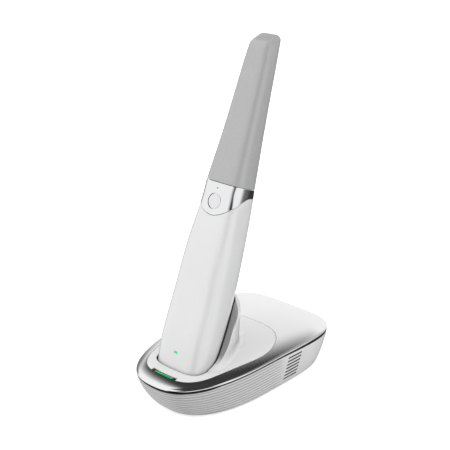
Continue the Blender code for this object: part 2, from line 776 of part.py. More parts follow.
def add_end_cap(look, seat):
    rings = []
    for at, depth in rounded_foot():
        rings.append(level(section(FOOT_AT, depth), at))
    rings.append(level(section(FOOT_AT, 0.1 * MM), CAP_HEIGHT))
    plug = HAND_WALL + GAP + 0.4 * MM
    rings.append(level(section(FOOT_AT, plug), CAP_HEIGHT))
    rings.append(level(section(FOOT_AT, plug), FOOT_AT))
    cap = loft("handle_end_cap", rings, look, seat)
    holes = bmesh.new()
    for x in pin_places():
        rod(holes, (x, 0.0), PAD_RADIUS + GAP, -MM, PAD_RECESS + PAD_THICKNESS + GAP, sides=16)
    for x in cap_screw_places():
        screw(holes, (x, 0.0), CAP_SCREW_HEAD + GAP, -MM, 1.6 * MM + GAP, FOOT_AT + MM, SCREW_RADIUS + GAP)
    combine(cap, add_object("end_cap_holes", holes, parent=seat), "DIFFERENCE")
    return cap


def add_collar(look, seat):
    edge = u_edge()
    rings = [edge_ring(edge, 0.0), hand_ring(TIP_BASE, 0.0)]
    rings.append(hand_ring(TIP_BASE, COLLAR_WALL))
    rings.append(edge_ring(edge, COLLAR_WALL))
    collar = loft("metal_collar", rings, look, seat, closed=True)
    holes = bmesh.new()
    reach = front_reach(BUTTON_AT)
    rod(holes, (0.0, BUTTON_AT), BUTTON_RADIUS + GAP, -reach - 4 * MM, -reach + 4 * MM, sides=32, axis="Y")
    reach = front_reach(STATUS_AT)
    rod(holes, (0.0, STATUS_AT), STATUS_RADIUS + GAP, -reach - 4 * MM, -reach + 4 * MM, sides=12, axis="Y")
    combine(collar, add_object("collar_holes", holes, parent=seat), "DIFFERENCE")
    return collar


def slant(outline, top):
    """Height of the slanted end above each point: level at the back, falling to the front."""
    fall = np.clip(-outline[:, 1] + SLANT_START, 0.0, None)
    return top - fall * SLANT_DROP / (TIP_END_FRONT + SLANT_START - TIP_EDGE)


def tip_shell(depth, base, turns):
    """Rings of the tip from its base to its closed slanted end."""
    rings = []
    end = HAND_LENGTH - depth
    middle = HAND_LENGTH - TIP_MIDDLE_FROM_END
    narrow = HAND_LENGTH - TIP_NARROW_FROM_END
    for at in (base, (TIP_BASE + middle) / 2, middle, (middle + narrow) / 2, narrow,
               HAND_LENGTH - 0.6 * TIP_NARROW_FROM_END):
        rings.append(hand_ring(at, depth))
    edge = TIP_EDGE - depth * 0.6
    for turn in turns:
        angle = turn * math.pi / 2
        outline = section(HAND_LENGTH, depth + edge * (1 - math.cos(angle)))
        rings.append(level(outline, slant(outline, end) - edge * (1 - math.sin(angle))))
    flat = section(HAND_LENGTH, depth + 1.4 * edge)
    rings.append(level(flat, slant(flat, end)))
    return rings


def add_tip(look, seat):
    base = TIP_BASE + GAP
    outer = tip_shell(0.0, base, (0.0, 0.25, 0.5, 0.75, 1.0))
    tip = loft("tip_sleeve", outer, look, seat)
    hollow = tip_shell(TIP_WALL, base - 2 * MM, (0.0, 0.5, 1.0))
    combine(tip, loft("tip_hollow", hollow, parent=seat), "DIFFERENCE")
    window = bmesh.new()
    high = HAND_LENGTH - WINDOW_FROM_END
    box(window, (-WINDOW_WIDTH / 2, 2 * MM, high - WINDOW_LENGTH),
        (WINDOW_WIDTH / 2, 20 * MM, high))
    cutter = add_object("scan_window", window, parent=seat)
    corner = cutter.modifiers.new("corners", "BEVEL")
    corner.width = 2.0 * MM
    corner.segments = 2
    combine(tip, cutter, "DIFFERENCE")
    return tip


def add_mirror(look, seat):
    """A thin plate behind the slanted end, at the same slope."""
    slope = SLANT_DROP / (TIP_END_FRONT + SLANT_START - TIP_EDGE)
    tilt = math.atan(slope)
    bm = bmesh.new()
    box(bm, (-MIRROR_WIDTH / 2, -MIRROR_LENGTH / 2, -MIRROR_THICKNESS),
        (MIRROR_WIDTH / 2, MIRROR_LENGTH / 2, 0.0))
    mirror = add_object("tip_mirror", bm, look, seat)
    wall = (TIP_WALL + 2 * GAP) / math.cos(tilt)
    height = HAND_LENGTH - (SLANT_START + MIRROR_OFFSET) * slope - wall
    mirror.location = (0.0, -MIRROR_OFFSET, height)
    mirror.rotation_euler = (tilt, 0.0, 0.0)
    return mirror


def nose_depth():
    return TIP_WALL + TIP_CLEARANCE


def add_nose(look, seat):
    """The stub under the tip, with its flange inside the metal collar."""
    top = TIP_BASE + NOSE_REACH
    flange = COLLAR_WALL + GAP
    groove = TIP_BASE + SEAL_AT
    stub = nose_depth()
    ledge = TIP_BASE - NOSE_FLANGE
    outer = [hand_ring(ledge, flange), hand_ring(TIP_BASE - GAP, flange), hand_ring(TIP_BASE - GAP, stub)]
    outer += [hand_ring(groove, stub), hand_ring(groove, stub + SEAL_DEPTH),
              hand_ring(groove + SEAL_WIDTH, stub + SEAL_DEPTH), hand_ring(groove + SEAL_WIDTH, stub)]
    outer.append(hand_ring(top, stub))
    bore = stub + SEAL_DEPTH + NOSE_WALL
    inner = [hand_ring(top, bore - SEAL_DEPTH), hand_ring(top - 4 * MM, bore - SEAL_DEPTH),
             hand_ring(TIP_BASE, bore), hand_ring(ledge, bore)]
    nose = loft("optics_nose", outer + inner, look, seat, closed=True)
    holes = bmesh.new()
    reach = front_reach(STATUS_AT)
    rod(holes, (0.0, STATUS_AT), STATUS_RADIUS + GAP, -reach - 4 * MM, -reach + 7 * MM, sides=12, axis="Y")
    combine(nose, add_object("nose_holes", holes, parent=seat), "DIFFERENCE")
    return nose


def add_seal(look, seat):
    low = TIP_BASE + SEAL_AT + 0.1 * MM + GAP / 2
    high = low + SEAL_WIDTH - GAP - 0.2 * MM
    outer = nose_depth()
    inner = outer + SEAL_DEPTH - GAP
    rings = [hand_ring(low, outer), hand_ring(high, outer), hand_ring(high, inner), hand_ring(low, inner)]
    return loft("nose_seal_ring", rings, look, seat, closed=True)


def add_nose_window(look, seat):
    depth = nose_depth() + NOSE_WALL + GAP
    top = TIP_BASE + NOSE_REACH - 0.6 * MM
    rings = [hand_ring(top - GLASS_THICKNESS, depth), hand_ring(top, depth)]
    return loft("nose_window", rings, look, seat)


# Button, lights and contacts

def add_button(look, seat):
    """A shallow dished cap with a flange inside the collar and a stem towards its switch."""
    bm = bmesh.new()
    face = -(front_reach(BUTTON_AT) - 0.15 * MM)
    sides = 32
    rows = [(0.0, face + 0.25 * MM), (0.55 * BUTTON_RADIUS, face + 0.18 * MM), (0.9 * BUTTON_RADIUS, face),
            (BUTTON_RADIUS, face + 0.25 * MM)]
    behind = face - 0.15 * MM + COLLAR_WALL + 2 * GAP
    wide = BUTTON_RADIUS + BUTTON_FLANGE
    rows += [(BUTTON_RADIUS, behind), (wide, behind), (wide, behind + 0.8 * MM),
             (BUTTON_STEM_RADIUS, behind + 0.8 * MM), (BUTTON_STEM_RADIUS, behind + BUTTON_STEM_LENGTH),
             (0.0, behind + BUTTON_STEM_LENGTH)]
    turned(bm, rows, sides, (0.0, BUTTON_AT))
    set_origin(add_object("scan_button", bm, look, seat), (0.0, 0.0, BUTTON_AT))


def turned(bm, rows, sides, centre):
    """Turn (radius, y) rows about an axis along Y; the first and last radius are zero."""
    tips = [bm.verts.new((centre[0], row[1], centre[1])) for row in (rows[0], rows[-1])]
    rings = []
    for radius, y in rows[1:-1]:
        ring = []
        for i in range(sides):
            angle = 2 * math.pi * i / sides
            ring.append(bm.verts.new((centre[0] + radius * math.cos(angle), y,
                                      centre[1] + radius * math.sin(angle))))
        rings.append(ring)
    for i in range(sides):
        j = (i + 1) % sides
        bm.faces.new((tips[0], rings[0][i], rings[0][j]))
        bm.faces.new((tips[1], rings[-1][j], rings[-1][i]))
        for low, high in zip(rings, rings[1:]):
            bm.faces.new((low[i], high[i], high[j], low[j]))


def button_stem_end():
    return -front_reach(BUTTON_AT) + COLLAR_WALL + 2 * GAP + BUTTON_STEM_LENGTH


def main_board_front():
    return -FRAME_FRONT - GAP - MAIN_BOARD_THICKNESS


def add_button_switch(look, seat):
    bm = bmesh.new()
    base = main_board_front() - GAP
    tip = button_stem_end() + BUTTON_TRAVEL + GAP
    middle = tip + 0.45 * (base - tip)
    rows = [(0.0, tip), (1.4 * MM, tip), (1.4 * MM, middle), (2.6 * MM, middle),
            (2.6 * MM, base), (0.0, base)]
    turned(bm, rows, 16, (0.0, BUTTON_AT))
    return add_object("button_switch", bm, look, seat)


def add_status_light(look, seat):
    bm = bmesh.new()
    reach = front_reach(STATUS_AT)
    rod(bm, (0.0, STATUS_AT), STATUS_RADIUS, -reach + 0.05 * MM, -reach + 5.5 * MM, sides=12, axis="Y")
    return add_object("status_light_pipe", bm, look, seat)


def add_battery_light(look, seat):
    """An oblong lens with rounded corners, just below the skin of the handle."""
    bm = bmesh.new()
    reach = front_reach(BATTERY_LIGHT_AT)
    half, tall = BATTERY_LIGHT_WIDTH / 2, BATTERY_LIGHT_HEIGHT / 2
    box(bm, (-half, -reach + 0.05 * MM, BATTERY_LIGHT_AT - tall),
        (half, -reach + 3 * MM, BATTERY_LIGHT_AT + tall))
    lens = add_object("battery_light_lens", bm, look, seat)
    corner = lens.modifiers.new("corners", "BEVEL")
    corner.width = 0.3 * MM
    corner.segments = 2
    return lens


def pin_places():
    return [-PIN_SPACING / 2, PIN_SPACING / 2]


def cap_screw_places():
    return [-CAP_SCREW_SPACING / 2, CAP_SCREW_SPACING / 2]


def add_charging_contacts(pad_look, pin_look, block_look, seat):
    """Pads in the foot of the handpiece, and sprung pins in a block under the pocket."""
    for side, x in zip(("right", "left"), pin_places()):
        pad = bmesh.new()
        rod(pad, (x, 0.0), PAD_RADIUS, PAD_RECESS, PAD_RECESS + PAD_THICKNESS, sides=16)
        add_object("charge_pad_" + side, pad, pad_look, seat)
        pin = bmesh.new()
        rod(pin, (x, 0.0), PIN_RADIUS, block_top() - 3.4 * MM, PAD_RECESS - GAP, sides=12)
        made = add_object("charging_pin_" + side, pin, pin_look, seat)
        set_origin(made, (x, 0.0, 0.0))
    bm = bmesh.new()
    half = PIN_SPACING / 2 + 2.8 * MM
    box(bm, (-half, -2.5 * MM, block_top() - 3.4 * MM), (half, 2.5 * MM, block_top()))
    block = add_object("contact_block", bm, block_look, seat)
    flange = bmesh.new()
    box(flange, (-half - 2.5 * MM, -4.5 * MM, block_top() - 5.6 * MM),
        (half + 2.5 * MM, 4.5 * MM, cup_floor() - INSERT_WALL - GAP))
    combine(block, add_object("block_flange", flange, parent=seat), "UNION")
    holes = bmesh.new()
    for x in pin_places():
        rod(holes, (x, 0.0), PIN_RADIUS + GAP, block_top() - 3.4 * MM - PIN_TRAVEL - GAP, block_top() + MM,
            sides=12)
    combine(block, add_object("block_holes", holes, parent=seat), "DIFFERENCE")


def cup_floor():
    return -GAP


def block_top():
    return -GAP


# Cradle insert

def collar_outline(height, wall=0.0):
    """The back-rest collar's plan at a height above the plate: straight front, rounded back."""
    over = max(0.0, height - COLLAR_SHOULDER) / (COLLAR_RISE - COLLAR_SHOULDER)
    half = COLLAR_WIDTH / 2 * (1 - 0.04 * height / COLLAR_SHOULDER)
    half -= (half - COLLAR_TOP_WIDTH / 2) * over ** 2
    line = SEAT_Y + COLLAR_FRONT + 0.485 * height - 0.0093 / MM * max(0.0, height - COLLAR_UPRIGHT) ** 2
    back = SEAT_Y + COLLAR_BACK - 0.11 * height - 5.5 * MM * over ** 2
    front = line - fillet(height, COLLAR_FRONT_FILLET)
    half += fillet(height, COLLAR_SIDE_FILLET) - wall
    back += fillet(height, COLLAR_SIDE_FILLET) - wall
    front += wall
    angle = np.arange(1, 200) * math.pi / 200
    corner = front + COLLAR_BOW
    x = half * np.sign(np.cos(angle)) * np.abs(np.cos(angle)) ** (2 / COLLAR_POWER)
    y = corner + (back - corner) * np.sin(angle) ** (2 / COLLAR_POWER)
    face = np.linspace(-half, half, 80)
    bow = front + COLLAR_BOW * (face / half) ** 2
    points = np.vstack([np.column_stack([x, y]), np.column_stack([face, bow])])
    reach = 4 + int(14 * max(0.0, 1 - height / COLLAR_SIDE_FILLET))
    return spread(soften(points, reach), 32)


def fillet(height, radius):
    """How far a concave fillet reaches out at a height above the plate."""
    if height >= radius:
        return 0.0
    return radius - math.sqrt(radius ** 2 - (radius - max(height, 0.03 * radius)) ** 2)


def plate_height():
    return float(top_height(np.array([[0.0, SEAT_Y]]))[0])


def add_insert(look, seat):
    outline = insert_outline()
    rings = []
    for share in (0.3, 0.65):
        flat = outline * share + outline.mean(axis=0) * (1 - share)
        rings.append(level(flat, top_height(flat)))
    rings.append(level(outline, top_height(outline)))
    rings.append(level(outline, top_height(outline) - FLANGE_DROP))
    wide = inset(outline, -FLANGE_REACH)
    rings.append(level(wide, top_height(outline) - FLANGE_DROP))
    rings.append(level(wide, top_height(outline) - FLANGE_DROP - FLANGE_THICKNESS))
    inner = inset(outline, FLANGE_REACH)
    rings.append(level(inner, top_height(inner) - FLANGE_DROP - FLANGE_THICKNESS))
    under = inner * 0.6 + inner.mean(axis=0) * 0.4
    rings.append(level(under, top_height(under) - INSERT_WALL))
    insert = loft("cradle_insert", rings, look)
    base = plate_height()
    combine(insert, loft("collar_body", collar_rings(base, 0.0)), "UNION")
    combine(insert, loft("pocket_cup", cup_rings(base), parent=seat), "UNION")
    core = loft("collar_core", collar_rings(base, INSERT_WALL))
    spare = pocket_rings(-POCKET_CLEARANCE - INSERT_WALL, cup_floor() - INSERT_WALL)
    combine(core, loft("collar_web", spare, parent=seat), "DIFFERENCE")
    combine(insert, core, "DIFFERENCE")
    room = pocket_rings(-POCKET_CLEARANCE, cup_floor())
    combine(insert, loft("pocket_room", room, parent=seat), "DIFFERENCE")
    slots = bmesh.new()
    half = PIN_SPACING / 2 + 2.8 * MM + GAP
    box(slots, (-half, -2.5 * MM - GAP, -8 * MM), (half, 2.5 * MM + GAP, 4 * MM))
    combine(insert, add_object("contact_slot", slots, parent=seat), "DIFFERENCE")
    notch = bmesh.new()
    prism(notch, bar_outline(BAR_LENGTH / 2 + GAP, -4 * MM, BAR_WIDTH + GAP), base - 8 * MM, base + 4 * MM)
    combine(insert, add_object("bar_notch", notch), "DIFFERENCE")
    add_bosses(insert, front_screws(), 0.5 * INSERT_WALL)


def collar_rings(base, wall):
    """The back-rest collar, or with a wall the core that hollows it from below."""
    rings = []
    for share in (0.0, 0.02, 0.05, 0.1, 0.17, 0.26, 0.4, 0.68, 0.78, 0.87, 0.94, 1.0):
        height = share * (COLLAR_RISE - wall)
        if wall and height < COLLAR_SIDE_FILLET:
            continue
        rings.append(level(collar_outline(height, wall), base + height))
    foot = collar_outline(COLLAR_SIDE_FILLET if wall else 0.0, wall)
    return [level(foot, base - (4 * MM if wall else 1.2 * MM))] + rings


def pocket_rings(depth, floor):
    """Rings round the handle's lower end, larger than it by -depth, boxy at the back."""
    rings = []
    for at, inward in rounded_foot():
        rings.append(level(section(FOOT_AT, depth + inward, POCKET_BACK_POWER), floor + at))
    for at in (FOOT_AT, GRIP_AT, (GRIP_AT + BELLY_AT) / 2, BELLY_AT, WAIST_AT):
        share = min(max((at - GRIP_AT) / (BELLY_AT - GRIP_AT), 0.0), 1.0)
        power = POCKET_BACK_POWER + (GRIP_POWER - POCKET_BACK_POWER) * share
        rings.append(level(section(at, depth, power), at))
    return rings


def cup_rings(base):
    """The pocket's outer wall, up to a level edge inside the plate."""
    depth = -POCKET_CLEARANCE - INSERT_WALL
    rings = pocket_rings(depth, cup_floor() - INSERT_WALL)[:5]
    start = section(FOOT_AT, depth, POCKET_BACK_POWER)
    heights = (base - 0.5 * INSERT_WALL - SEAT_Z + start[:, 1] * math.sin(LEAN)) / math.cos(LEAN)
    for share in (0.5, 1.0):
        ring = []
        for i, height in enumerate(heights):
            at = FOOT_AT + (height - FOOT_AT) * share
            ring.append((*section(at, depth, POCKET_BACK_POWER)[i], at))
        rings.append(np.array(ring))
    return rings


def nose_edge(x, distance):
    """The insert's nose edge at x, moved in by a distance."""
    curve = inset(insert_curve(), distance)
    front = curve[curve[:, 1] < NOSE_Y + INSERT_NOSE_SETBACK + INSERT_LENGTH / 3]
    order = np.argsort(front[:, 0])
    return float(np.interp(x, front[order, 0], front[order, 1]))


def bar_outline(half, outer, inner):
    """A curved strip along the insert's nose."""
    xs = np.linspace(-half, half, 9)
    front = [(x, nose_edge(x, outer)) for x in xs]
    back = [(x, nose_edge(x, inner)) for x in xs[::-1]]
    return front + back


def window_outline(i, gap):
    """One slanted window of the light bar, smaller all round by a gap."""
    x = (i - (BAR_WINDOWS - 1) / 2) * BAR_PITCH
    half = BAR_SLOT_LENGTH / 2 - gap
    low = nose_edge(x, BAR_SLOT_MARGIN + gap)
    high = nose_edge(x, BAR_WIDTH - BAR_SLOT_MARGIN - gap)
    lean = BAR_SLANT / 2
    return [(x - half - lean, low), (x + half - lean, low), (x + half + lean, high), (x - half + lean, high)]


def bar_top():
    spot = np.array([[0.0, NOSE_Y + INSERT_NOSE_SETBACK]])
    return float(top_height(spot)[0]) - 0.15 * MM


def add_light_bar(bezel_look, guide_look, board_look):
    low = bar_top() - BAR_HEIGHT
    bm = bmesh.new()
    prism(bm, bar_outline(BAR_LENGTH / 2, 0.0, BAR_WIDTH), low, bar_top())
    bezel = add_object("light_bar_bezel", bm, bezel_look)
    slots = bmesh.new()
    for i in range(BAR_WINDOWS):
        prism(slots, window_outline(i, 0.0), low - MM, bar_top() + MM)
    combine(bezel, add_object("bar_slots", slots), "DIFFERENCE")
    bm = bmesh.new()
    reach = BAR_WINDOWS * BAR_PITCH / 2
    prism(bm, bar_outline(reach, 0.3 * MM, BAR_WIDTH - 0.3 * MM), low - GAP - 1.4 * MM, low - GAP)
    guide = add_object("light_guide", bm, guide_look)
    teeth = bmesh.new()
    for i in range(BAR_WINDOWS):
        prism(teeth, window_outline(i, GAP), low - GAP - 0.7 * MM, bar_top() - 0.1 * MM)
    combine(guide, add_object("guide_teeth", teeth), "UNION")
    bm = bmesh.new()
    top = low - 2 * GAP - 1.4 * MM
    prism(bm, bar_outline(reach, 0.3 * MM, BAR_WIDTH - 0.3 * MM), top - 1.0 * MM, top)
    add_object("light_board", bm, board_look)


# Dock internals

def add_feet(look):
    names = ("foot_front_right", "foot_front_left", "foot_rear_right", "foot_rear_left")
    for name, place in zip(names, foot_places()):
        bm = bmesh.new()
        rod(bm, place, FOOT_RADIUS, 0.0, FOOT_HEIGHT, sides=18)
        foot = add_object(name, bm, look)
        edge = foot.modifiers.new("edge", "BEVEL")
        edge.width = 0.4 * MM
        edge.segments = 1


def add_dock_screws(look):
    names = ("front_right", "front_left", "rear_right", "rear_left")
    for name, place in zip(names, front_screws() + rear_screws()):
        bm = bmesh.new()
        under = screw_seat() - GAP
        screw(bm, place, SCREW_HEAD_RADIUS, under - SCREW_HEAD_HEIGHT, under, screw_top() - GAP, SCREW_RADIUS)
        add_object("dock_screw_" + name, bm, look)


def screw(bm, place, head, low, under, top, shank):
    """One stepped screw, or the hole for it, standing head down."""
    sides = 12
    rows = [(head, low), (head, under), (shank, under), (shank, top)]
    rings = []
    for radius, z in rows:
        rings.append([bm.verts.new((place[0] + radius * math.cos(2 * math.pi * i / sides),
                                    place[1] + radius * math.sin(2 * math.pi * i / sides), z))
                      for i in range(sides)])
    for lower, upper in zip(rings, rings[1:]):
        for i in range(sides):
            j = (i + 1) % sides
            bm.faces.new((lower[i], lower[j], upper[j], upper[i]))
    bm.faces.new(rings[0])
    bm.faces.new(rings[-1])


def add_dock_insides(steel, board, can, socket_look, flex):
    floor = BASE_CLEARANCE + TUB_FLOOR
    bm = bmesh.new()
    rear = TAIL_Y - BALLAST_SETBACK
    box(bm, (-BALLAST_WIDTH / 2, rear - BALLAST_LENGTH, floor + GAP),
        (BALLAST_WIDTH / 2, rear, floor + GAP + BALLAST_THICKNESS))
    add_object("ballast_plate", bm, steel)
    bm = bmesh.new()
    top = BOARD_HEIGHT + BOARD_THICKNESS
    box(bm, (-BOARD_WIDTH / 2, BOARD_FRONT, BOARD_HEIGHT), (BOARD_WIDTH / 2, BOARD_REAR, top))
    main = add_object("dock_board", bm, board)
    tail = bmesh.new()
    back = socket_back() - 0.4 * SOCKET_DEPTH
    box(tail, (-BOARD_TAIL_WIDTH / 2, BOARD_REAR - BOARD_POST_MARGIN / 2, BOARD_HEIGHT),
        (BOARD_TAIL_WIDTH / 2, back, top))
    combine(main, add_object("board_tail", tail), "UNION")
    bm = bmesh.new()
    rear = BOARD_REAR - CAN_MARGIN
    box(bm, (-CAN_SIDE - CAN_WIDTH, rear - CAN_LENGTH, top + GAP), (-CAN_SIDE, rear, top + GAP + CAN_HEIGHT))
    add_object("dock_radio_can", bm, can)
    add_socket(socket_look)
    add_flex(flex)


def socket_back():
    """The socket's open end, level with the rear wall of the tub."""
    return TAIL_Y - BASE_TAIL_SETBACK * (1 - tub_blend(socket_floor())) - 0.6 * MM


def add_socket(look):
    bm = bmesh.new()
    half = SOCKET_WIDTH / 2
    low = socket_floor()
    box(bm, (-half, socket_back() - SOCKET_DEPTH, low), (half, socket_back(), low + SOCKET_HEIGHT))
    socket = add_object("power_socket", bm, look)
    hole = bmesh.new()
    box(hole, (-half + PORT_WALL, socket_back() - SOCKET_DEPTH + MM, low + PORT_WALL),
        (half - PORT_WALL, socket_back() + MM, low + SOCKET_HEIGHT - PORT_WALL))
    combine(socket, add_object("socket_hole", hole), "DIFFERENCE")
    tongue = bmesh.new()
    box(tongue,
        (-half + 4 * PORT_WALL, socket_back() - SOCKET_DEPTH + 0.5 * MM, low + SOCKET_HEIGHT / 2 - 0.35 * MM),
        (half - 4 * PORT_WALL, socket_back() - MM, low + SOCKET_HEIGHT / 2 + 0.35 * MM))
    combine(socket, add_object("socket_tongue", tongue), "UNION")


def add_flex(look):
    """A flat flex from the contact block back to the dock board."""
    block = block_top() - 5.6 * MM - GAP
    y = SEAT_Y + block * math.sin(LEAN)
    z = SEAT_Z + block * math.cos(LEAN)
    deck = BOARD_HEIGHT + BOARD_THICKNESS + GAP
    line = [(y - 0.12 * FLEX_REACH, z - 0.17 * FLEX_DIP), (y + 0.31 * FLEX_REACH, z - 0.6 * FLEX_DIP),
            (y + FLEX_REACH, z - FLEX_DIP), (BOARD_FRONT - 3 * FLEX_REACH, z - FLEX_DIP),
            (BOARD_FRONT - 1.25 * FLEX_REACH, deck + 0.3 * FLEX_DIP),
            (BOARD_FRONT + FLEX_REACH, deck + 0.5 * FLEX_THICKNESS)]
    rings = []
    half = FLEX_WIDTH / 2
    for a, b in line:
        high = b + FLEX_THICKNESS
        rings.append([(-half, a, b), (half, a, b), (half, a, high), (-half, a, high)])
    return loft("contact_flex", rings, look)


# Handle internals

def add_frame(look, seat):
    """A channel from the end cap to the optics nose, open to the back, that holds the battery."""
    low = FOOT_AT + GAP
    high = TIP_BASE - NOSE_FLANGE - GAP
    half = FRAME_WIDTH / 2
    y0 = -FRAME_FRONT
    y1 = y0 + FRAME_PLATE
    y2 = y1 + FRAME_RAIL
    inner = half - FRAME_PLATE
    outline = [(-half, y0), (half, y0), (half, y2), (inner, y2), (inner, y1), (-inner, y1), (-inner, y2),
               (-half, y2)]
    bm = bmesh.new()
    prism(bm, outline, low, high)
    frame = add_object("internal_frame", bm, look, seat)
    holes = bmesh.new()
    for x in cap_screw_places():
        rod(holes, (x, 0.0), SCREW_RADIUS + GAP, low - MM, low + 4 * MM, sides=12)
    for at in np.linspace(low + FRAME_HOLE_LOW, high - FRAME_HOLE_HIGH, FRAME_HOLES):
        rod(holes, (0.0, at), FRAME_HOLE_RADIUS, y0 - MM, y1 + MM, sides=16, axis="Y")
    combine(frame, add_object("frame_holes", holes, parent=seat), "DIFFERENCE")
    return frame


def add_handle_insides(looks, seat):
    low = FOOT_AT + 3 * MM
    front = main_board_front()
    bm = bmesh.new()
    half = MAIN_BOARD_WIDTH / 2
    box(bm, (-half, front, low + 4 * MM), (half, front + MAIN_BOARD_THICKNESS, BUTTON_AT + 5 * MM))
    add_object("main_board", bm, looks["board"], seat)
    bm = bmesh.new()
    wide = FRAME_WIDTH / 2 - FRAME_PLATE - GAP
    start = -FRAME_FRONT + FRAME_PLATE + GAP
    box(bm, (-wide, start, low), (wide, start + BATTERY_DEPTH, TIP_BASE - BATTERY_FROM_TIP))
    pack = add_object("battery_pack", bm, looks["battery"], seat)
    edge = pack.modifiers.new("edge", "BEVEL")
    edge.width = 1.0 * MM
    edge.segments = 2
    bm = bmesh.new()
    high = TIP_BASE - SPREADER_FROM_TIP
    box(bm, (-SPREADER_WIDTH / 2, front - GAP - SPREADER_THICKNESS, high - SPREADER_LENGTH),
        (SPREADER_WIDTH / 2, front - GAP, high))
    add_object("heat_spreader", bm, looks["aluminium"], seat)
    bm = bmesh.new()
    high = TIP_BASE - HAND_CAN_FROM_TIP
    box(bm, (-HAND_CAN_SIDE / 2, front - GAP - HAND_CAN_THICKNESS, high - HAND_CAN_SIDE),
        (HAND_CAN_SIDE / 2, front - GAP, high))
    add_object("handpiece_radio_can", bm, looks["steel"], seat)
    for side, x in zip(("right", "left"), cap_screw_places()):
        bm = bmesh.new()
        screw(bm, (x, 0.0), CAP_SCREW_HEAD, 0.1 * MM, 1.6 * MM, FOOT_AT - MM, SCREW_RADIUS)
        add_object("end_cap_screw_" + side, bm, looks["steel"], seat)


def add_optics(looks, seat):
    """An optics bench that carries a camera and a projector, side by side, inside the nose."""
    top = TIP_BASE + NOSE_REACH - 0.6 * MM - GLASS_THICKNESS - GAP
    reach = reaches(top)[2] - nose_depth() - NOSE_WALL - SEAL_DEPTH
    y1 = reach - GAP
    y0 = y1 - BENCH_THICKNESS
    bm = bmesh.new()
    box(bm, (-BENCH_WIDTH / 2, y0, top - BENCH_LENGTH), (BENCH_WIDTH / 2, y1, top))
    add_object("optics_bench", bm, looks["aluminium"], seat)
    axis = y0 - GAP - CAMERA_RADIUS
    for name, x in (("camera", -CAMERA_SPACING / 2), ("projector", CAMERA_SPACING / 2)):
        bm = bmesh.new()
        high = top - LENS_THICKNESS - 2 * GAP
        rod(bm, (x, axis), CAMERA_RADIUS, high - CAMERA_LENGTH, high, sides=20)
        add_object(name + "_module", bm, looks["dark"], seat)
        bm = bmesh.new()
        rod(bm, (x, axis), 0.8 * CAMERA_RADIUS, high + GAP, high + GAP + LENS_THICKNESS, sides=20)
        add_object(name + "_lens", bm, looks["glass"], seat)


def add_seat():
    """The handpiece's frame: its foot in the pocket, its axis leaning back."""
    seat = bpy.data.objects.new("handpiece_seat", None)
    bpy.context.collection.objects.link(seat)
    seat.location = (0.0, SEAT_Y, SEAT_Z)
    seat.rotation_euler = (-LEAN, 0.0, 0.0)
    return seat


def build():
    clear_scene()
    white = material("gloss_white", (0.86, 0.87, 0.88), 0.3)
    shell_grey = material("shell_grey", (0.72, 0.73, 0.74), 0.45)
    insert_grey = material("insert_grey", (0.76, 0.77, 0.78), 0.4)
    tip_grey = material("tip_grey", (0.46, 0.47, 0.48), 0.55)
    chrome = material("chrome", (0.8, 0.8, 0.82), 0.12, 1.0)
    button_look = material("button_satin", (0.78, 0.78, 0.8), 0.3)
    black = material("black_plastic", (0.03, 0.03, 0.03), 0.4)
    green = material("green_light", (0.05, 0.75, 0.3), 0.35)
    rubber = material("rubber", (0.12, 0.12, 0.12), 0.8)
    steel = material("steel", (0.6, 0.6, 0.62), 0.35, 1.0)
    aluminium = material("aluminium", (0.75, 0.75, 0.77), 0.4, 1.0)
    board = material("circuit_board", (0.03, 0.22, 0.1), 0.5)
    gold = material("gold_contact", (0.9, 0.7, 0.3), 0.25, 1.0)
    battery = material("battery_wrap", (0.1, 0.18, 0.4), 0.5)
    glass = material("clear_glass", (0.9, 0.95, 0.95), 0.05, 0.0, 0.4)
    mirror = material("mirror", (0.95, 0.95, 0.95), 0.02, 1.0)
    flex = material("flex_amber", (0.6, 0.35, 0.08), 0.45)

    seat = add_seat()
    add_tub(shell_grey)
    add_cover(chrome)
    add_insert(insert_grey, seat)
    add_light_bar(black, green, board)
    add_feet(rubber)
    add_dock_screws(steel)
    add_dock_insides(steel, board, steel, steel, flex)
    add_charging_contacts(gold, gold, black, seat)

    add_handle(white, seat)
    add_end_cap(black, seat)
    add_collar(chrome, seat)
    add_button(button_look, seat)
    add_button_switch(black, seat)
    add_status_light(green, seat)
    add_battery_light(green, seat)
    add_frame(aluminium, seat)
    looks = {"board": board, "battery": battery, "aluminium": aluminium, "steel": steel, "dark": black,
             "glass": glass}
    add_handle_insides(looks, seat)
    add_nose(black, seat)
    add_seal(rubber, seat)
    add_nose_window(glass, seat)
    add_optics(looks, seat)
    add_tip(tip_grey, seat)
    add_mirror(mirror, seat)


build()
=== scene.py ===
# %% [markdown]
# # An intraoral scanner standing in its charging dock
#
# The solids of the scanner and its dock come packed from the CAD step, and this lesson dresses
# them. Large, softly curved shells are remade finer than the CAD model needs them, because a
# glossy surface shows every facet. Small hard parts keep their solids and get a finish.
# Everything is in metres, in the CAD model's own frame: +Z up, the dock's nose towards -Y.

# %% Load the frame
import json
import math

import bpy
import numpy as np
from mathutils import Matrix, Vector


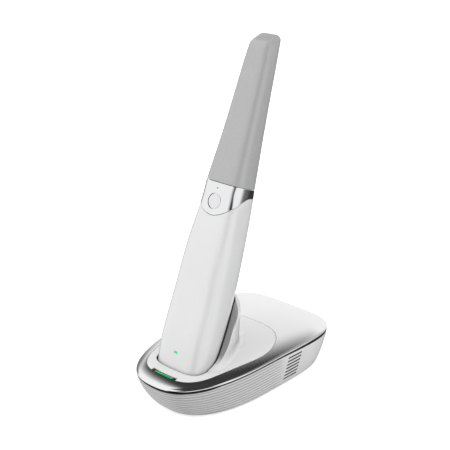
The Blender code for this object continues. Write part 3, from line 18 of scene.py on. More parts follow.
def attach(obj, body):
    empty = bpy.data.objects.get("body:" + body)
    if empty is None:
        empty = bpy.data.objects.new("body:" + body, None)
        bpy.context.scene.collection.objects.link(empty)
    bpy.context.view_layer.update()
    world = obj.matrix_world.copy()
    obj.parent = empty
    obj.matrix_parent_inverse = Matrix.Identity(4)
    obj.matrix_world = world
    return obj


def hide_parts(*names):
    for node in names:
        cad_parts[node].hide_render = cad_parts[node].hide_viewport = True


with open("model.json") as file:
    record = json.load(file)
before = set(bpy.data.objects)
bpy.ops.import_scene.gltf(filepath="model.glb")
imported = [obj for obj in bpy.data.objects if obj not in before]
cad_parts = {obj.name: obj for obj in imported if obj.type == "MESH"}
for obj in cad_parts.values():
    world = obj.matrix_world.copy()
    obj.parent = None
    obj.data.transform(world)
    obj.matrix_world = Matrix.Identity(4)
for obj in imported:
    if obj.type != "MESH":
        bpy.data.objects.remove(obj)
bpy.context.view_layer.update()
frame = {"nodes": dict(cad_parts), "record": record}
nodes = frame["nodes"]
MM = 0.001

# %% [markdown]
# ## Camera
#
# A product photograph is usually taken from a little above and from one side. Place, direction and
# lens are found once by laying the CAD model over the photograph. A camera looks along its own -Z,
# so the direction from the object back to the camera becomes its +Z.

# %% Camera
PHOTO_SIDE = 450
PHOTO_FOCAL = 997.0
CAMERA_AZIMUTH = math.radians(40.6)
CAMERA_RISE = math.radians(22.6)
CAMERA_PLACE = Vector((468.1, -547.25, 437.1)) * MM

camera_data = bpy.data.cameras.new("studio_camera")
camera_data.sensor_width = 36.0
camera_data.lens = PHOTO_FOCAL * camera_data.sensor_width / PHOTO_SIDE
camera = bpy.data.objects.new("studio_camera", camera_data)
bpy.context.collection.objects.link(camera)
towards_camera = Vector((math.cos(CAMERA_RISE) * math.sin(CAMERA_AZIMUTH),
                         -math.cos(CAMERA_RISE) * math.cos(CAMERA_AZIMUTH),
                         math.sin(CAMERA_RISE)))
camera.location = CAMERA_PLACE
camera.rotation_mode = "QUATERNION"
camera.rotation_quaternion = towards_camera.to_track_quat("Z", "Y")
camera_data.clip_start = 0.01
camera_data.clip_end = 50.0
bpy.context.scene.camera = camera
print("lens", round(camera_data.lens, 1), "mm")

# %% [markdown]
# ## Shader maths as Python
#
# A procedural finish is mostly arithmetic on noise and on places. Wrapping an output socket in a
# small class lets Python's own operators add the Math nodes, also when a plain number stands on
# the left, as in 1 - mask.

# %% Socket arithmetic
class Value:
    """A number coming out of a node; arithmetic on it adds Math nodes."""

    def __init__(self, tree, socket):
        self.tree = tree
        self.socket = socket

    def combine(self, operation, first, second=None, clamp=False):
        node = self.tree.nodes.new("ShaderNodeMath")
        node.operation = operation
        node.use_clamp = clamp
        for place, number in zip(node.inputs, (first, second)):
            if isinstance(number, Value):
                self.tree.links.new(number.socket, place)
            elif number is not None:
                place.default_value = number
        return Value(self.tree, node.outputs[0])

    def __add__(self, other):
        return self.combine("ADD", self, other)

    def __radd__(self, other):
        return self.combine("ADD", other, self)

    def __sub__(self, other):
        return self.combine("SUBTRACT", self, other)

    def __rsub__(self, other):
        return self.combine("SUBTRACT", other, self)

    def __mul__(self, other):
        return self.combine("MULTIPLY", self, other)

    def __rmul__(self, other):
        return self.combine("MULTIPLY", other, self)

    def __truediv__(self, other):
        return self.combine("DIVIDE", self, other)

    def __rtruediv__(self, other):
        return self.combine("DIVIDE", other, self)

    def __pow__(self, other):
        return self.combine("POWER", self, other)

    def __rpow__(self, other):
        return self.combine("POWER", other, self)

    def clamped(self):
        return self.combine("ADD", self, 0.0, clamp=True)

    def heading(self, other):
        return self.combine("ARCTAN2", self, other)

    def size(self):
        return self.combine("ABSOLUTE", self)

    def cosine(self):
        return self.combine("COSINE", self)


class Finish:
    """A material being built: add() makes any node, and the shader takes the results."""

    def __init__(self, name, tree=None):
        if tree is None:
            self.material = bpy.data.materials.new(name)
            self.material.use_nodes = True
            tree = self.material.node_tree
        self.tree = tree
        self.shader = tree.nodes.get("Principled BSDF")

    def add(self, kind, settings=None, sockets=None):
        """Make one node: settings first, then a value or a link for each named socket."""
        node = self.tree.nodes.new(kind)
        for name, setting in (settings or {}).items():
            if name == "stops":
                ramp = node.color_ramp
                while len(ramp.elements) < len(setting):
                    ramp.elements.new(0.5)
                for element, (place, colour) in zip(ramp.elements, setting):
                    element.position = place
                    element.color = colour
            else:
                setattr(node, name, setting)
        for name, value in (sockets or {}).items():
            self.join(node.inputs[name], value)
        return node

    def join(self, place, value):
        if isinstance(value, Value):
            self.tree.links.new(value.socket, place)
        elif isinstance(value, bpy.types.NodeSocket):
            self.tree.links.new(value, place)
        else:
            place.default_value = value

    def set(self, **inputs):
        """Give the shader's sockets, named in small letters with underscores, their values."""
        for name, value in inputs.items():
            self.join(self.shader.inputs[name.replace("_", " ").title().replace("Ior", "IOR")], value)
        return self

    def value(self, socket):
        return Value(self.tree, socket)

    def place(self):
        """Object coordinates as a vector socket and as three values in metres."""
        coordinates = self.add("ShaderNodeTexCoord").outputs["Object"]
        split = self.add("ShaderNodeSeparateXYZ", sockets={"Vector": coordinates})
        return coordinates, [self.value(split.outputs[i]) for i in range(3)]

    def noise(self, vector, scale, detail=2.0, roughness=0.5):
        node = self.add("ShaderNodeTexNoise", sockets={
            "Vector": vector, "Scale": scale, "Detail": detail, "Roughness": roughness})
        return self.value(node.outputs["Fac"])

    def between(self, value, low, high, start=0.0, end=1.0, smooth=True):
        """Remap a value from low..high to start..end, eased at both ends."""
        node = self.add("ShaderNodeMapRange",
                        {"interpolation_type": "SMOOTHSTEP" if smooth else "LINEAR", "clamp": True},
                        {"Value": value, "From Min": low, "From Max": high, "To Min": start, "To Max": end})
        return self.value(node.outputs["Result"])

    def mix(self, share, first, second):
        """Blend two colours and return the colour socket."""
        node = self.add("ShaderNodeMix", {"data_type": "RGBA"})
        self.join(node.inputs[0], share)
        for index, colour in ((6, first), (7, second)):
            self.join(node.inputs[index], (*colour, 1.0) if isinstance(colour, tuple) else colour)
        return node.outputs[2]

    def bump(self, height, depth, strength=1.0):
        """Feed the shader's normal with a height that is depth metres deep."""
        node = self.add("ShaderNodeBump", sockets={"Height": height, "Distance": depth, "Strength": strength})
        self.join(self.shader.inputs["Normal"], node.outputs["Normal"])


print("socket arithmetic ready")

# %% [markdown]
# ## Moulded plastics
#
# The handle is gloss plastic: under the shine a moulded face is never perfectly flat, so a wide,
# very shallow noise bends its highlights a little. The tip and the button are satin, with the
# fine spark-eroded grain of their mould. Grain goes into roughness and bump, not into the colour.

# %% Plastics
def moulded(name, colour, roughness, grain=0.0, ripple=0.0, coat=0.0, tone=0.0, ior=1.5):
    """A moulded plastic with a fine grain, a shallow ripple and a slight change of tone."""
    look = Finish(name)
    vector, _ = look.place()
    cloudy = look.noise(vector, 45.0, 3.0)
    fine = look.noise(vector, 2600.0, 2.0, 0.6)
    darker = tuple(channel * (1.0 - tone) for channel in colour)
    look.set(base_color=look.mix(cloudy, darker, colour),
             roughness=look.between(fine * 0.6 + cloudy * 0.4, 0.3, 0.7, roughness - 0.04, roughness + 0.04),
             coat_weight=coat, coat_roughness=0.1, ior=ior)
    look.bump(fine * grain + cloudy * ripple, 0.001)
    return look.material


handle_white = moulded("handle_gloss_white", (0.79, 0.79, 0.792), 0.24, grain=0.0003, ripple=0.01, coat=0.4,
                       tone=0.01, ior=1.9)
tip_grey = moulded("tip_satin_grey", (0.445, 0.445, 0.448), 0.26, grain=0.001, coat=0.2, tone=0.02, ior=1.75)
black_gloss = moulded("black_gloss_plastic", (0.012, 0.012, 0.013), 0.22, grain=0.01, tone=0.2)
shade_black = moulded("shade_black", (0.012, 0.012, 0.012), 0.8, grain=0.01)
cap_black = moulded("end_cap_black", (0.02, 0.02, 0.021), 0.5, grain=0.03, tone=0.15)
def cradle_finish():
    """The cradle's light grey, with painted shade: a darker grey on the back-rest's forward face and near its top.
    """
    look = Finish("cradle_light_grey")
    vector, (x, y, z) = look.place()
    normal = look.add("ShaderNodeNewGeometry").outputs["Normal"]
    forward = look.value(look.add("ShaderNodeSeparateXYZ", sockets={"Vector": normal}).outputs[1])
    # Painted shade: the back-rest's forward face and the front strip near its top are mixed towards dark grey.
    face = look.between(forward, -0.5, -0.36, 1.0, 0.0) * look.between(z, 38 * MM, 46 * MM)
    behind = y - z * 0.485 + 54.7 * MM
    crest_shade = look.between(behind, 3 * MM, 4.2 * MM, 1.0, 0.0) * look.between(z, 62 * MM, 70 * MM)
    rim = 1.0 - (1.0 - face) * (1.0 - crest_shade)
    cloudy = look.noise(vector, 45.0, 3.0)
    look.set(base_color=look.mix(rim * 0.85, (0.84, 0.84, 0.842), (0.2, 0.2, 0.2)), coat_weight=0.2, ior=1.5,
             coat_roughness=0.1, roughness=look.between(cloudy, 0.3, 0.7, 0.32, 0.38))
    look.bump(cloudy * 0.01, 0.001)
    return look.material


cradle_grey = cradle_finish()


def ribbed_grey():
    """The tub's grey with painted shade, darker at the nose than at the tail and in the grooves, and a dark seam on
    top.
    """
    look = Finish("tub_light_grey")
    vector, (x, y, z) = look.place()
    wave = ((z - 4.5 * MM) * (2 * math.pi / (2.7 * MM))).cosine()
    ribs = look.between(y, 9 * MM, 18 * MM, 1.0, 0.0) * look.between(z, 3.2 * MM, 4.4 * MM) \
        * look.between(z, 28.8 * MM, 30.0 * MM, 1.0, 0.0)
    # Painted shade in the grooves between the ribs.
    groove = look.between(wave, 0.1, 1.0) * ribs * 0.6
    deeper = look.between(y, 0.0, 60 * MM) * MM \
        + look.between(x, -12 * MM, 12 * MM) * look.between(y, -66 * MM, -50 * MM, 1.0, 0.0) * MM
    seam = look.between(z + deeper, 31.1 * MM, 31.2 * MM)
    # Painted light and shade: the grey is darker round the nose and lighter towards the tail.
    painted_light_to_tail = look.between(y, -70 * MM, 50 * MM, smooth=False)
    plastic = look.mix(painted_light_to_tail, (0.58, 0.58, 0.583), (0.82, 0.82, 0.823))
    grooved = look.mix(groove, plastic, (0.16, 0.16, 0.162))
    look.set(base_color=look.mix(seam, grooved, (0.01, 0.01, 0.01)), coat_weight=0.3, coat_roughness=0.08, ior=1.5,
             roughness=look.between(look.noise(vector, 45.0, 3.0), 0.3, 0.7, 0.27, 0.33))
    return look.material


tub_grey = ribbed_grey()
print("plastics:", [m.name for m in (handle_white, tip_grey, cradle_grey, tub_grey, black_gloss, cap_black)])

# %% [markdown]
# ## Metals
#
# The collar and the edge of the dock's cover are mirror-bright plating. Plating shows the studio,
# so the colour is nearly white and the darkness comes from the room. The inner pieces are plain
# steel and aluminium with the marks of machining.

# %% Metals
def metal(name, colour, roughness, brushed=0.0):
    look = Finish(name)
    vector, (x, y, z) = look.place()
    smudge = look.noise(vector, 60.0, 4.0, 0.6)
    scratches = look.add("ShaderNodeMapping", sockets={"Vector": vector, "Scale": (1.0, 1.0, 14.0)})
    lines = look.noise(scratches.outputs["Vector"], 900.0, 2.0)
    look.set(base_color=look.mix(smudge, tuple(c * 0.93 for c in colour), colour), metallic=1.0,
             roughness=look.between(smudge * 0.5 + lines * 0.5, 0.3, 0.7, roughness * 0.75, roughness * 1.25))
    look.bump(lines * brushed, 0.001)
    return look.material


chrome = metal("collar_chrome", (0.87, 0.87, 0.88), 0.09)
def fading_plating():
    """Mirror-bright plating round the nose that turns into white towards the tail."""
    look = Finish("cover_plating")
    vector, (x, y, z) = look.place()
    inward = (51.5 * MM - x.size()) * 3.8
    white = look.between(y + inward, 4 * MM, 104 * MM) * look.between(y, -62 * MM, -20 * MM)
    cloudy = look.noise(vector, 30.0, 1.0)
    look.set(base_color=look.mix(white, (0.88, 0.88, 0.885), (0.87, 0.87, 0.872)), metallic=1.0 - white,
             roughness=look.between(cloudy, 0.3, 0.7, 0.1, 0.12), ior=1.5)
    return look.material


cover_chrome = fading_plating()
button_metal = metal("button_plating", (0.84, 0.84, 0.85), 0.2)
steel = metal("plain_steel", (0.56, 0.56, 0.58), 0.34, brushed=0.02)
aluminium = metal("satin_aluminium", (0.72, 0.72, 0.74), 0.4, brushed=0.03)
gold = metal("gold_plating", (0.95, 0.68, 0.28), 0.22, brushed=0.01)
mirror_silver = metal("mirror_silver", (0.95, 0.95, 0.96), 0.02)
print("metals:", [m.name for m in (chrome, steel, aluminium, gold, mirror_silver)])

# %% [markdown]
# ## Rubber, glass, boards and lights
#
# Rubber is dark and soft, with a sheen of dust. Glass is kept clear with a low roughness. The
# green lights are a light guide behind a window, so they glow evenly and keep a glossy face.

# %% Other finishes
def plain(name, colour, roughness, **sockets):
    look = Finish(name)
    vector, _ = look.place()
    speck = look.noise(vector, 1500.0, 3.0)
    look.set(base_color=look.mix(speck, tuple(c * 0.85 for c in colour), colour),
             roughness=look.between(speck, 0.3, 0.7, roughness - 0.05, roughness + 0.05), **sockets)
    look.bump(speck, 0.00002)
    return look.material


rubber = plain("foot_rubber", (0.045, 0.045, 0.047), 0.75, sheen_weight=0.25)
wrap = plain("battery_wrap", (0.08, 0.16, 0.38), 0.4)
amber_film = plain("flex_film", (0.52, 0.28, 0.06), 0.35)
clear = plain("clear_glass", (0.93, 0.97, 0.97), 0.06, transmission_weight=0.85, ior=1.52)


def circuit_board():
    """Solder mask with straight copper tracks showing through as a slightly lighter green."""
    look = Finish("circuit_board")
    vector, (x, y, z) = look.place()
    brick = look.add("ShaderNodeTexBrick", {"offset": 0.4, "squash": 1.0}, {
        "Vector": vector, "Scale": 160.0, "Mortar Size": 0.03, "Mortar Smooth": 0.2, "Row Height": 0.3,
        "Brick Width": 1.6})
    tracks = look.value(brick.outputs["Fac"])
    look.set(base_color=look.mix(tracks, (0.012, 0.13, 0.05), (0.03, 0.24, 0.09)), roughness=0.35)
    look.bump(tracks, 0.00003)
    return look.material


def green_glow(name, strength):
    look = Finish(name)
    vector, (x, y, z) = look.place()
    patch = look.noise(vector, 300.0, 2.0)
    look.set(base_color=(0.0, 0.35, 0.1, 1.0), roughness=0.25, emission_strength=strength,
             emission_color=look.mix(patch, (0.0, 0.42, 0.11), (0.0, 0.6, 0.17)))
    return look.material


board = circuit_board()
bar_glow = green_glow("bar_light", 0.8)
dot_glow = green_glow("status_light", 0.9)
faint_glow = green_glow("faint_status_light", 0.25)
print("other finishes ready")

# %% [markdown]
# ## A finish for every solid
#
# A CAD node keeps its shape and gets a finish by changing its material slots. The table names the
# record's slots, so a piece that is hidden inside is finished too.

# %% Dress the solids
finish_of_slot = {
    "gloss_white": handle_white, "shell_grey": tub_grey, "insert_grey": cradle_grey, "tip_grey": tip_grey,
    "chrome": chrome, "button_satin": button_metal, "black_plastic": black_gloss, "green_light": dot_glow,
    "rubber": rubber, "steel": steel, "aluminium": aluminium, "circuit_board": board, "gold_contact": gold,
    "battery_wrap": wrap, "clear_glass": clear, "mirror": mirror_silver, "flex_amber": amber_film,
}
slot_of_node = {row["node"]: row["material_slot"] for row in frame["record"]["subparts"]}
for name, node in nodes.items():
    node.data.materials.clear()
    node.data.materials.append(finish_of_slot[slot_of_node[name]])
nodes["handle_end_cap"].data.materials[0] = cap_black
nodes["light_guide"].data.materials[0] = bar_glow
nodes["status_light_pipe"].data.materials[0] = faint_glow
print("dressed", len(nodes), "solids")

# %% [markdown]
# ## Wrapping a sheet into a shell
#
# Every large shell here is a run of rings: outlines round the dock, or sections along the
# handpiece. A grid is the simplest start for that. Its rows are laid on the rings one by one, the
# first and last columns meet, and merging by distance sews them together. An open run gets its
# end holes filled, a closed run joins its last ring to its first, like a tyre.

# %% Sheet wrapping
def lone(piece):
    """Deselect everything and make one object active."""
    bpy.ops.object.select_all(action="DESELECT")
    piece.select_set(True)
    bpy.context.view_layer.objects.active = piece


def edit_all(piece):
    lone(piece)
    bpy.ops.object.mode_set(mode="EDIT")
    bpy.ops.mesh.select_all(action="SELECT")


def wrapped(name, rings, look, tyre=False, caps=True):
    """A grid laid on rings of points and sewn into a shell."""
    rows = [np.vstack([ring, ring[:1]]) for ring in rings]
    if tyre:
        rows.append(rows[0])
    bpy.ops.object.select_all(action="DESELECT")
    bpy.ops.mesh.primitive_grid_add(x_subdivisions=len(rows[0]) - 1, y_subdivisions=len(rows) - 1, size=0.1)
    piece = bpy.context.active_object
    piece.name = name
    piece.data.name = name
    piece.data.vertices.foreach_set("co", np.vstack(rows).ravel())
    edit_all(piece)
    bpy.ops.mesh.remove_doubles(threshold=0.000005)
    if caps and not tyre:
        bpy.ops.mesh.select_all(action="SELECT")
        bpy.ops.mesh.fill_holes(sides=0)
        bpy.ops.mesh.select_all(action="SELECT")
    bpy.ops.mesh.normals_make_consistent(inside=False)
    bpy.ops.object.mode_set(mode="OBJECT")
    piece.data.materials.clear()
    piece.data.materials.append(look)
    return piece


def settle(piece, turn=None):
    """Write an object's place into its mesh, after an optional turn into the world."""
    if turn is not None:
        piece.matrix_world = turn @ piece.matrix_world
    lone(piece)
    bpy.ops.object.transform_apply(location=True, rotation=True, scale=True)
    return piece


def apply_modifier(piece, kind, **settings):
    lone(piece)
    step = piece.modifiers.new(kind.lower(), kind)
    for name, value in settings.items():
        setattr(step, name, value)
    bpy.ops.object.modifier_apply(modifier=step.name)


def carve(piece, tool, operation="DIFFERENCE", lining="INDEX"):
    """Cut or join two meshes and throw the tool away; TRANSFER lines a cut with the tool's look."""
    apply_modifier(piece, "BOOLEAN", operation=operation, solver="EXACT", object=tool, material_mode=lining)
    bpy.data.objects.remove(tool, do_unlink=True)


def smooth(piece, angle=35.0):
    lone(piece)
    bpy.ops.object.shade_smooth_by_angle(angle=math.radians(angle))


def done(piece, body, slot, *replaced):
    """Hand a finished piece to its body and let it stand for its solids."""
    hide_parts(*replaced)
    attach(piece, body)
    print(piece.name, len(piece.data.vertices), "points, stands for", ", ".join(replaced))


ROOT = "dock_and_handpiece"
print("sheet wrapping ready")

# %% [markdown]
# ## Closed curves
#
# Points are spread along each curve by its length and by how much it turns, so corners get more
# of them than straight runs. The same rule with the same start makes point number 30 of one ring
# sit beside point number 30 of the next.

# %% Closed curves
def spread(points, count):
    steps = np.roll(points, -1, axis=0) - points
    lengths = np.hypot(steps[:, 0], steps[:, 1])
    heading = np.unwrap(np.arctan2(steps[:, 1], steps[:, 0]))
    turns = np.abs(np.diff(heading, append=heading[0] + 2 * np.pi * np.sign(heading[-1] - heading[0])))
    measure = lengths / lengths.sum() + 0.8 * turns / turns.sum()
    reach = np.concatenate([[0.0], np.cumsum(measure)])
    marks = np.arange(count) * reach[-1] / count
    closed = np.vstack([points, points[:1]])
    return np.column_stack([np.interp(marks, reach, closed[:, i]) for i in (0, 1)])


def inset(outline, distance):
    """Move a closed outline inward by a distance, outward if it is negative."""
    ahead = np.roll(outline, -1, axis=0) - np.roll(outline, 1, axis=0)
    normal = np.column_stack([ahead[:, 1], -ahead[:, 0]])
    normal /= np.linalg.norm(normal, axis=1)[:, None]
    outward = np.sign(np.sum(normal * (outline - outline.mean(axis=0)), axis=1)).sum()
    return outline - normal * distance * np.sign(outward)


def level(outline, height):
    return np.column_stack([outline, np.broadcast_to(height, len(outline))])


print("curve helpers ready")

# %% [markdown]
# ## The dock's outlines
#
# Seen from above the dock is an egg: a superellipse with one corner power at the nose and another
# at the tail, and a width that grows between them. The seam between tub and cover, the underside
# and the cradle's plate are three such eggs, in the CAD model's sizes. The dome's height follows
# from how near a point lies to the seam: flat in the middle, upright at the edge.

# %% Dock outlines
DOCK_LENGTH = 174.5 * MM
NOSE_Y = -DOCK_LENGTH / 2
TAIL_Y = DOCK_LENGTH / 2
RING_POINTS = 256
SEAM_HEIGHT = 31.2 * MM
COVER_LIP = SEAM_HEIGHT + 1.8 * MM
BASE_HEIGHT = 1.5 * MM


def egg(nose, tail, nose_width, tail_width, nose_power, tail_power, swell):
    angle = np.arange(2880) * 2 * np.pi / 2880
    cosine, sine = np.cos(angle), np.sin(angle)
    power = np.where(cosine > 0, nose_power, tail_power)
    y = (nose + tail) / 2 - (tail - nose) / 2 * np.sign(cosine) * np.abs(cosine) ** (2 / power)
    half = (nose_width + (tail_width - nose_width) * swell((y - nose) / (tail - nose))) / 2
    return np.column_stack([half * np.sign(sine) * np.abs(sine) ** (2 / power), y])


def ease(share):
    """Narrow round the nose, then widening, then wide."""
    share = np.clip((share - 0.2) / 0.55, 0.0, 1.0)
    return share * share * (3 - 2 * share)


seam_line = spread(egg(NOSE_Y, TAIL_Y, 90 * MM, 116 * MM, 2.5, 4.5, np.square), RING_POINTS)
base_line = spread(egg(NOSE_Y + 20 * MM, TAIL_Y - 8 * MM, 79 * MM, 98 * MM, 2.5, 4.5, np.positive), RING_POINTS)
INSERT_NOSE = NOSE_Y + 12.2 * MM
insert_curve = egg(INSERT_NOSE, INSERT_NOSE + 112.4 * MM, 68 * MM, 83.5 * MM, 3.0, 2.8, ease)
insert_line = spread(insert_curve, RING_POINTS)


def top_height(outline):
    """The domed top of the dock above each point."""
    x, y = outline[:, 0], outline[:, 1]
    tilt = (y - NOSE_Y) / DOCK_LENGTH
    half = (90 + 26 * tilt ** 2) / 2 * MM
    power = np.where(y < 0, 2.5, 4.5)
    out = (np.abs(x / half) ** power + np.abs(2 * y / DOCK_LENGTH) ** power) ** (1 / power)
    flat = 4.3 + 4.0 * np.clip(y / (60 * MM), 0.0, 1.0)
    return COVER_LIP + (4.4 + 1.2 * tilt) * MM * np.sqrt(1 - np.minimum(out, 1.0) ** flat)


print("seam outline", np.round(np.ptp(seam_line, axis=0) / MM, 1), "mm")

# %% [markdown]
# ## The dock's ribbed tub
#
# The tub bulges from the narrow underside to the seam. Nine soft ribs run round its nose and
# sides and fade out before the vents, so the rings follow a wave in height whose depth is a
# function of the place along the dock. The vents and the seats of feet and screws are cut after.

# %% Tub
RIB_COUNT = 9
RIB_LOW = 4.5 * MM
RIB_PITCH = 2.7 * MM
RIB_DEPTH = 0.6 * MM
RIB_STEPS = 10
TUB_WALL = 2.2 * MM


def tub_outline(height, depth=0.0):
    share = np.clip((height - BASE_HEIGHT) / (SEAM_HEIGHT - BASE_HEIGHT), 0.0, 1.0)
    blend = (1 - (1 - share) ** 1.3) ** (1 / 1.3)
    return inset(base_line * (1 - blend) + seam_line * blend, depth)


def rib_fade(outline):
    fade = np.clip((18 * MM - outline[:, 1]) / (9 * MM), 0.0, 1.0)
    return fade * fade * (3 - 2 * fade)


tub_rings = []
for turn in np.linspace(0.0, 1.0, 7):
    angle = turn * math.pi / 2
    rise = BASE_HEIGHT + 1.6 * MM * (1 - math.cos(angle))
    tub_rings.append(level(tub_outline(rise, 2.0 * MM * (1 - math.sin(angle))), rise))
for i in range(RIB_COUNT * RIB_STEPS + 1):
    height = RIB_LOW + i * RIB_PITCH / RIB_STEPS
    wave = (0.5 - 0.5 * math.cos(2 * math.pi * i / RIB_STEPS)) ** 0.7
    outline = tub_outline(height)
    inward = (outline - inset(outline, 1.0 * MM)) / MM
    tub_rings.append(level(outline - inward * RIB_DEPTH * (1 - wave) * rib_fade(outline)[:, None], height))
top_edge = SEAM_HEIGHT - 0.5 * MM
tub_rings.append(level(tub_outline(top_edge), top_edge))
tub_rings.append(level(inset(seam_line, 0.15 * MM), SEAM_HEIGHT - 0.15 * MM))
tub_rings.append(level(inset(seam_line, 0.5 * MM), SEAM_HEIGHT))
tub_rings.append(level(inset(seam_line, 1.2 * MM), SEAM_HEIGHT))
tub_rings.append(level(inset(seam_line, 1.2 * MM), SEAM_HEIGHT + 0.7 * MM))
tub_rings.append(level(inset(seam_line, 2.4 * MM), SEAM_HEIGHT + 0.7 * MM))
for height in np.linspace(23.0, 4.0, 8) * MM:
    tub_rings.append(level(tub_outline(height, TUB_WALL + RIB_DEPTH), height))
tub = wrapped("tub_shell", tub_rings, tub_grey)
print("tub rings:", len(tub_rings))

# %% [markdown]
# A vent slot is a long box with rounded ends. The rows repeat, so a loop makes one cutter for every
# slot, up the side and on the other side.

# %% Vents and seats
def cutter_box(low, high, round_by=0.0, segments=3):
    """A box between two corners, with its edges rounded when asked."""
    bpy.ops.object.select_all(action="DESELECT")
    bpy.ops.mesh.primitive_cube_add(size=1.0)
    tool = bpy.context.active_object
    tool.scale = [b - a for a, b in zip(low, high)]
    tool.location = [(a + b) / 2 for a, b in zip(low, high)]
    settle(tool)
    if round_by:
        apply_modifier(tool, "BEVEL", width=round_by, segments=segments)
    return tool


def cutter_rod(centre, radius, low, high, axis="Z", sides=48):
    """A round bar along Z or along Y."""
    bpy.ops.object.select_all(action="DESELECT")
    bpy.ops.mesh.primitive_cylinder_add(vertices=sides, radius=radius, depth=high - low)
    tool = bpy.context.active_object
    middle = (low + high) / 2
    if axis == "Z":
        tool.location = (*centre, middle)
    else:
        tool.rotation_euler = (math.pi / 2, 0.0, 0.0)
        tool.location = (centre[0], middle, centre[1])
    return settle(tool)


def joined(pieces):
    lone(pieces[0])
    for piece in pieces[1:]:
        piece.select_set(True)
    bpy.ops.object.join()
    return bpy.context.active_object


VENT_FRONT = 17.5 * MM
VENT_LENGTH = 16.1 * MM
vents = []
for side in (-1, 1):
    for row in range(7):
        middle = (8.2 + 3.2 * row) * MM
        reach = sorted((side * 36 * MM, side * 58 * MM))
        first = VENT_FRONT + 0.45 * MM * row
        slot = cutter_box((reach[0], first, middle - 0.65 * MM),
                          (reach[1], first + VENT_LENGTH, middle + 0.65 * MM), 0.5 * MM)
        slot.data.materials.append(shade_black)
        vents.append(slot)
carve(tub, joined(vents), lining="TRANSFER")

FOOT_PLACES = [(x * MM, y) for x, y in ((-14, NOSE_Y + 38 * MM), (14, NOSE_Y + 38 * MM),
                                        (-33, TAIL_Y - 30 * MM), (33, TAIL_Y - 30 * MM))]
SCREW_PLACES = [(x * MM, y * MM) for x, y in ((-31, -18), (31, -18), (-27, 67.25), (27, 67.25))]
seats = [cutter_rod(place, 6.3 * MM, -1 * MM, 2.7 * MM) for place in FOOT_PLACES]
seats += [cutter_rod(place, 2.9 * MM, -1 * MM, 3.6 * MM) for place in SCREW_PLACES]
seats.append(cutter_box((-4.8 * MM, TAIL_Y - 30 * MM, 14.6 * MM), (4.8 * MM, TAIL_Y + 10 * MM, 18.5 * MM)))
carve(tub, joined(seats))
smooth(tub, 40)
done(tub, ROOT, "shell_grey", "dock_lower_shell")

# %% [markdown]
# ## The cover with its bright edge
#
# The cover turns from an upright lip over a round shoulder to a nearly flat top. On the real one
# the shoulder is mirror-bright and the top is white, with a soft change between them. The
# ring run goes round the outside, down into the cradle's opening and back along the underside.

# %% Cover
COVER_WALL = 1.9 * MM
opening_line = inset(insert_line, -0.3 * MM)
opening_top = top_height(opening_line)
nose_share = np.clip(-seam_line[:, 1] / (60 * MM), 0.0, 1.0)
nose_share = nose_share * nose_share * (3 - 2 * nose_share)
lip = COVER_LIP - 0.35 * MM * nose_share
cover_rings = [level(inset(seam_line, 0.15 * MM), SEAM_HEIGHT + 1.3 * MM),
               level(seam_line, SEAM_HEIGHT + 1.4 * MM), level(seam_line, lip + 0.05 * MM)]
for share in np.linspace(0.0, 1.0, 46)[1:-1]:
    blend = share ** 2.6
    outline = seam_line * (1 - blend) + opening_line * blend
    bulb = lip + (opening_top - lip) * math.sqrt(1 - (1 - blend) ** 1.5)
    cover_rings.append(level(outline, bulb * nose_share + top_height(outline) * (1 - nose_share)))
cover_rings.append(level(inset(insert_line, -0.42 * MM), opening_top - 0.01 * MM))
cover_rings.append(level(opening_line, opening_top - 0.12 * MM))
cover_rings.append(level(opening_line, opening_top - COVER_WALL))
under_rim = inset(seam_line, 2.7 * MM)
for blend in (0.8, 0.6, 0.4, 0.2, 0.08):
    outline = under_rim * (1 - blend) + opening_line * blend
    cover_rings.append(level(outline, top_height(outline) - COVER_WALL))
cover_rings.append(level(under_rim, SEAM_HEIGHT + 1.0 * MM))


cover = wrapped("cover_shell", cover_rings, cover_chrome, tyre=True)
cover.data.materials.append(shade_black)
middle = Vector((0.0, -19 * MM, 0.0))
for face in cover.data.polygons:
    if abs(face.normal.z) < 0.5 and face.normal.dot(face.center - middle) < 0:
        face.material_index = 1
smooth(cover, 40)
done(cover, ROOT, "chrome", "dock_top_cover")

# %% [markdown]
# ## Sections along the handpiece
#
# The handpiece has its own axis, which leans back 22 degrees. Distances along it start at its
# foot. Each section is a rounded box whose half width, front reach and back reach pass smoothly
# through nine named stations, and a matrix carries the finished piece into the dock's frame.

# %% Handpiece sections
HAND_POINTS = 176
HAND_LENGTH = 281.4 * MM
TIP_BASE = 162.0 * MM
FOOT_AT = 7.0 * MM
GRIP_AT = 32.0 * MM
BELLY_AT = 72.0 * MM
GRIP_POWER = 3.5
POCKET_BACK_POWER = 9.0
LEAN = math.radians(22.0)
seat = Matrix.Translation((0.0, -55.65 * MM, 19.6 * MM)) @ Matrix.Rotation(-LEAN, 4, "X")
STATIONS = np.array([(7, 22.5, 13, 11.6), (32, 23.3, 15.4, 15.3), (72, 22.3, 15.3, 20.2),
                     (112, 20.6, 15.8, 19.6), (152, 17.4, 14.2, 18.4), (162, 17.4, 14.2, 16.2),
                     (202, 14.5, 12.0, 13.2), (242, 12.5, 10.9, 9.8), (281.4, 10.45, 10.6, 7.3)]) * MM


def through(rows, column, at):
    """A smooth value through the stations at a distance along the handpiece."""
    xs, ys = rows[:, 0], rows[:, column]
    slopes = np.gradient(ys, xs)
    i = int(np.clip(np.searchsorted(xs, at) - 1, 0, len(xs) - 2))
    span = xs[i + 1] - xs[i]
    t = min(max((at - xs[i]) / span, 0.0), 1.0)
    low = (2 * t ** 3 - 3 * t ** 2 + 1) * ys[i] + (t ** 3 - 2 * t ** 2 + t) * span * slopes[i]
    high = (3 * t ** 2 - 2 * t ** 3) * ys[i + 1] + (t ** 3 - t ** 2) * span * slopes[i + 1]
    return float(low + high)


def reaches(at):
    rows = STATIONS[5:] if at > TIP_BASE else STATIONS
    return [through(rows, column, at) for column in (1, 2, 3)]


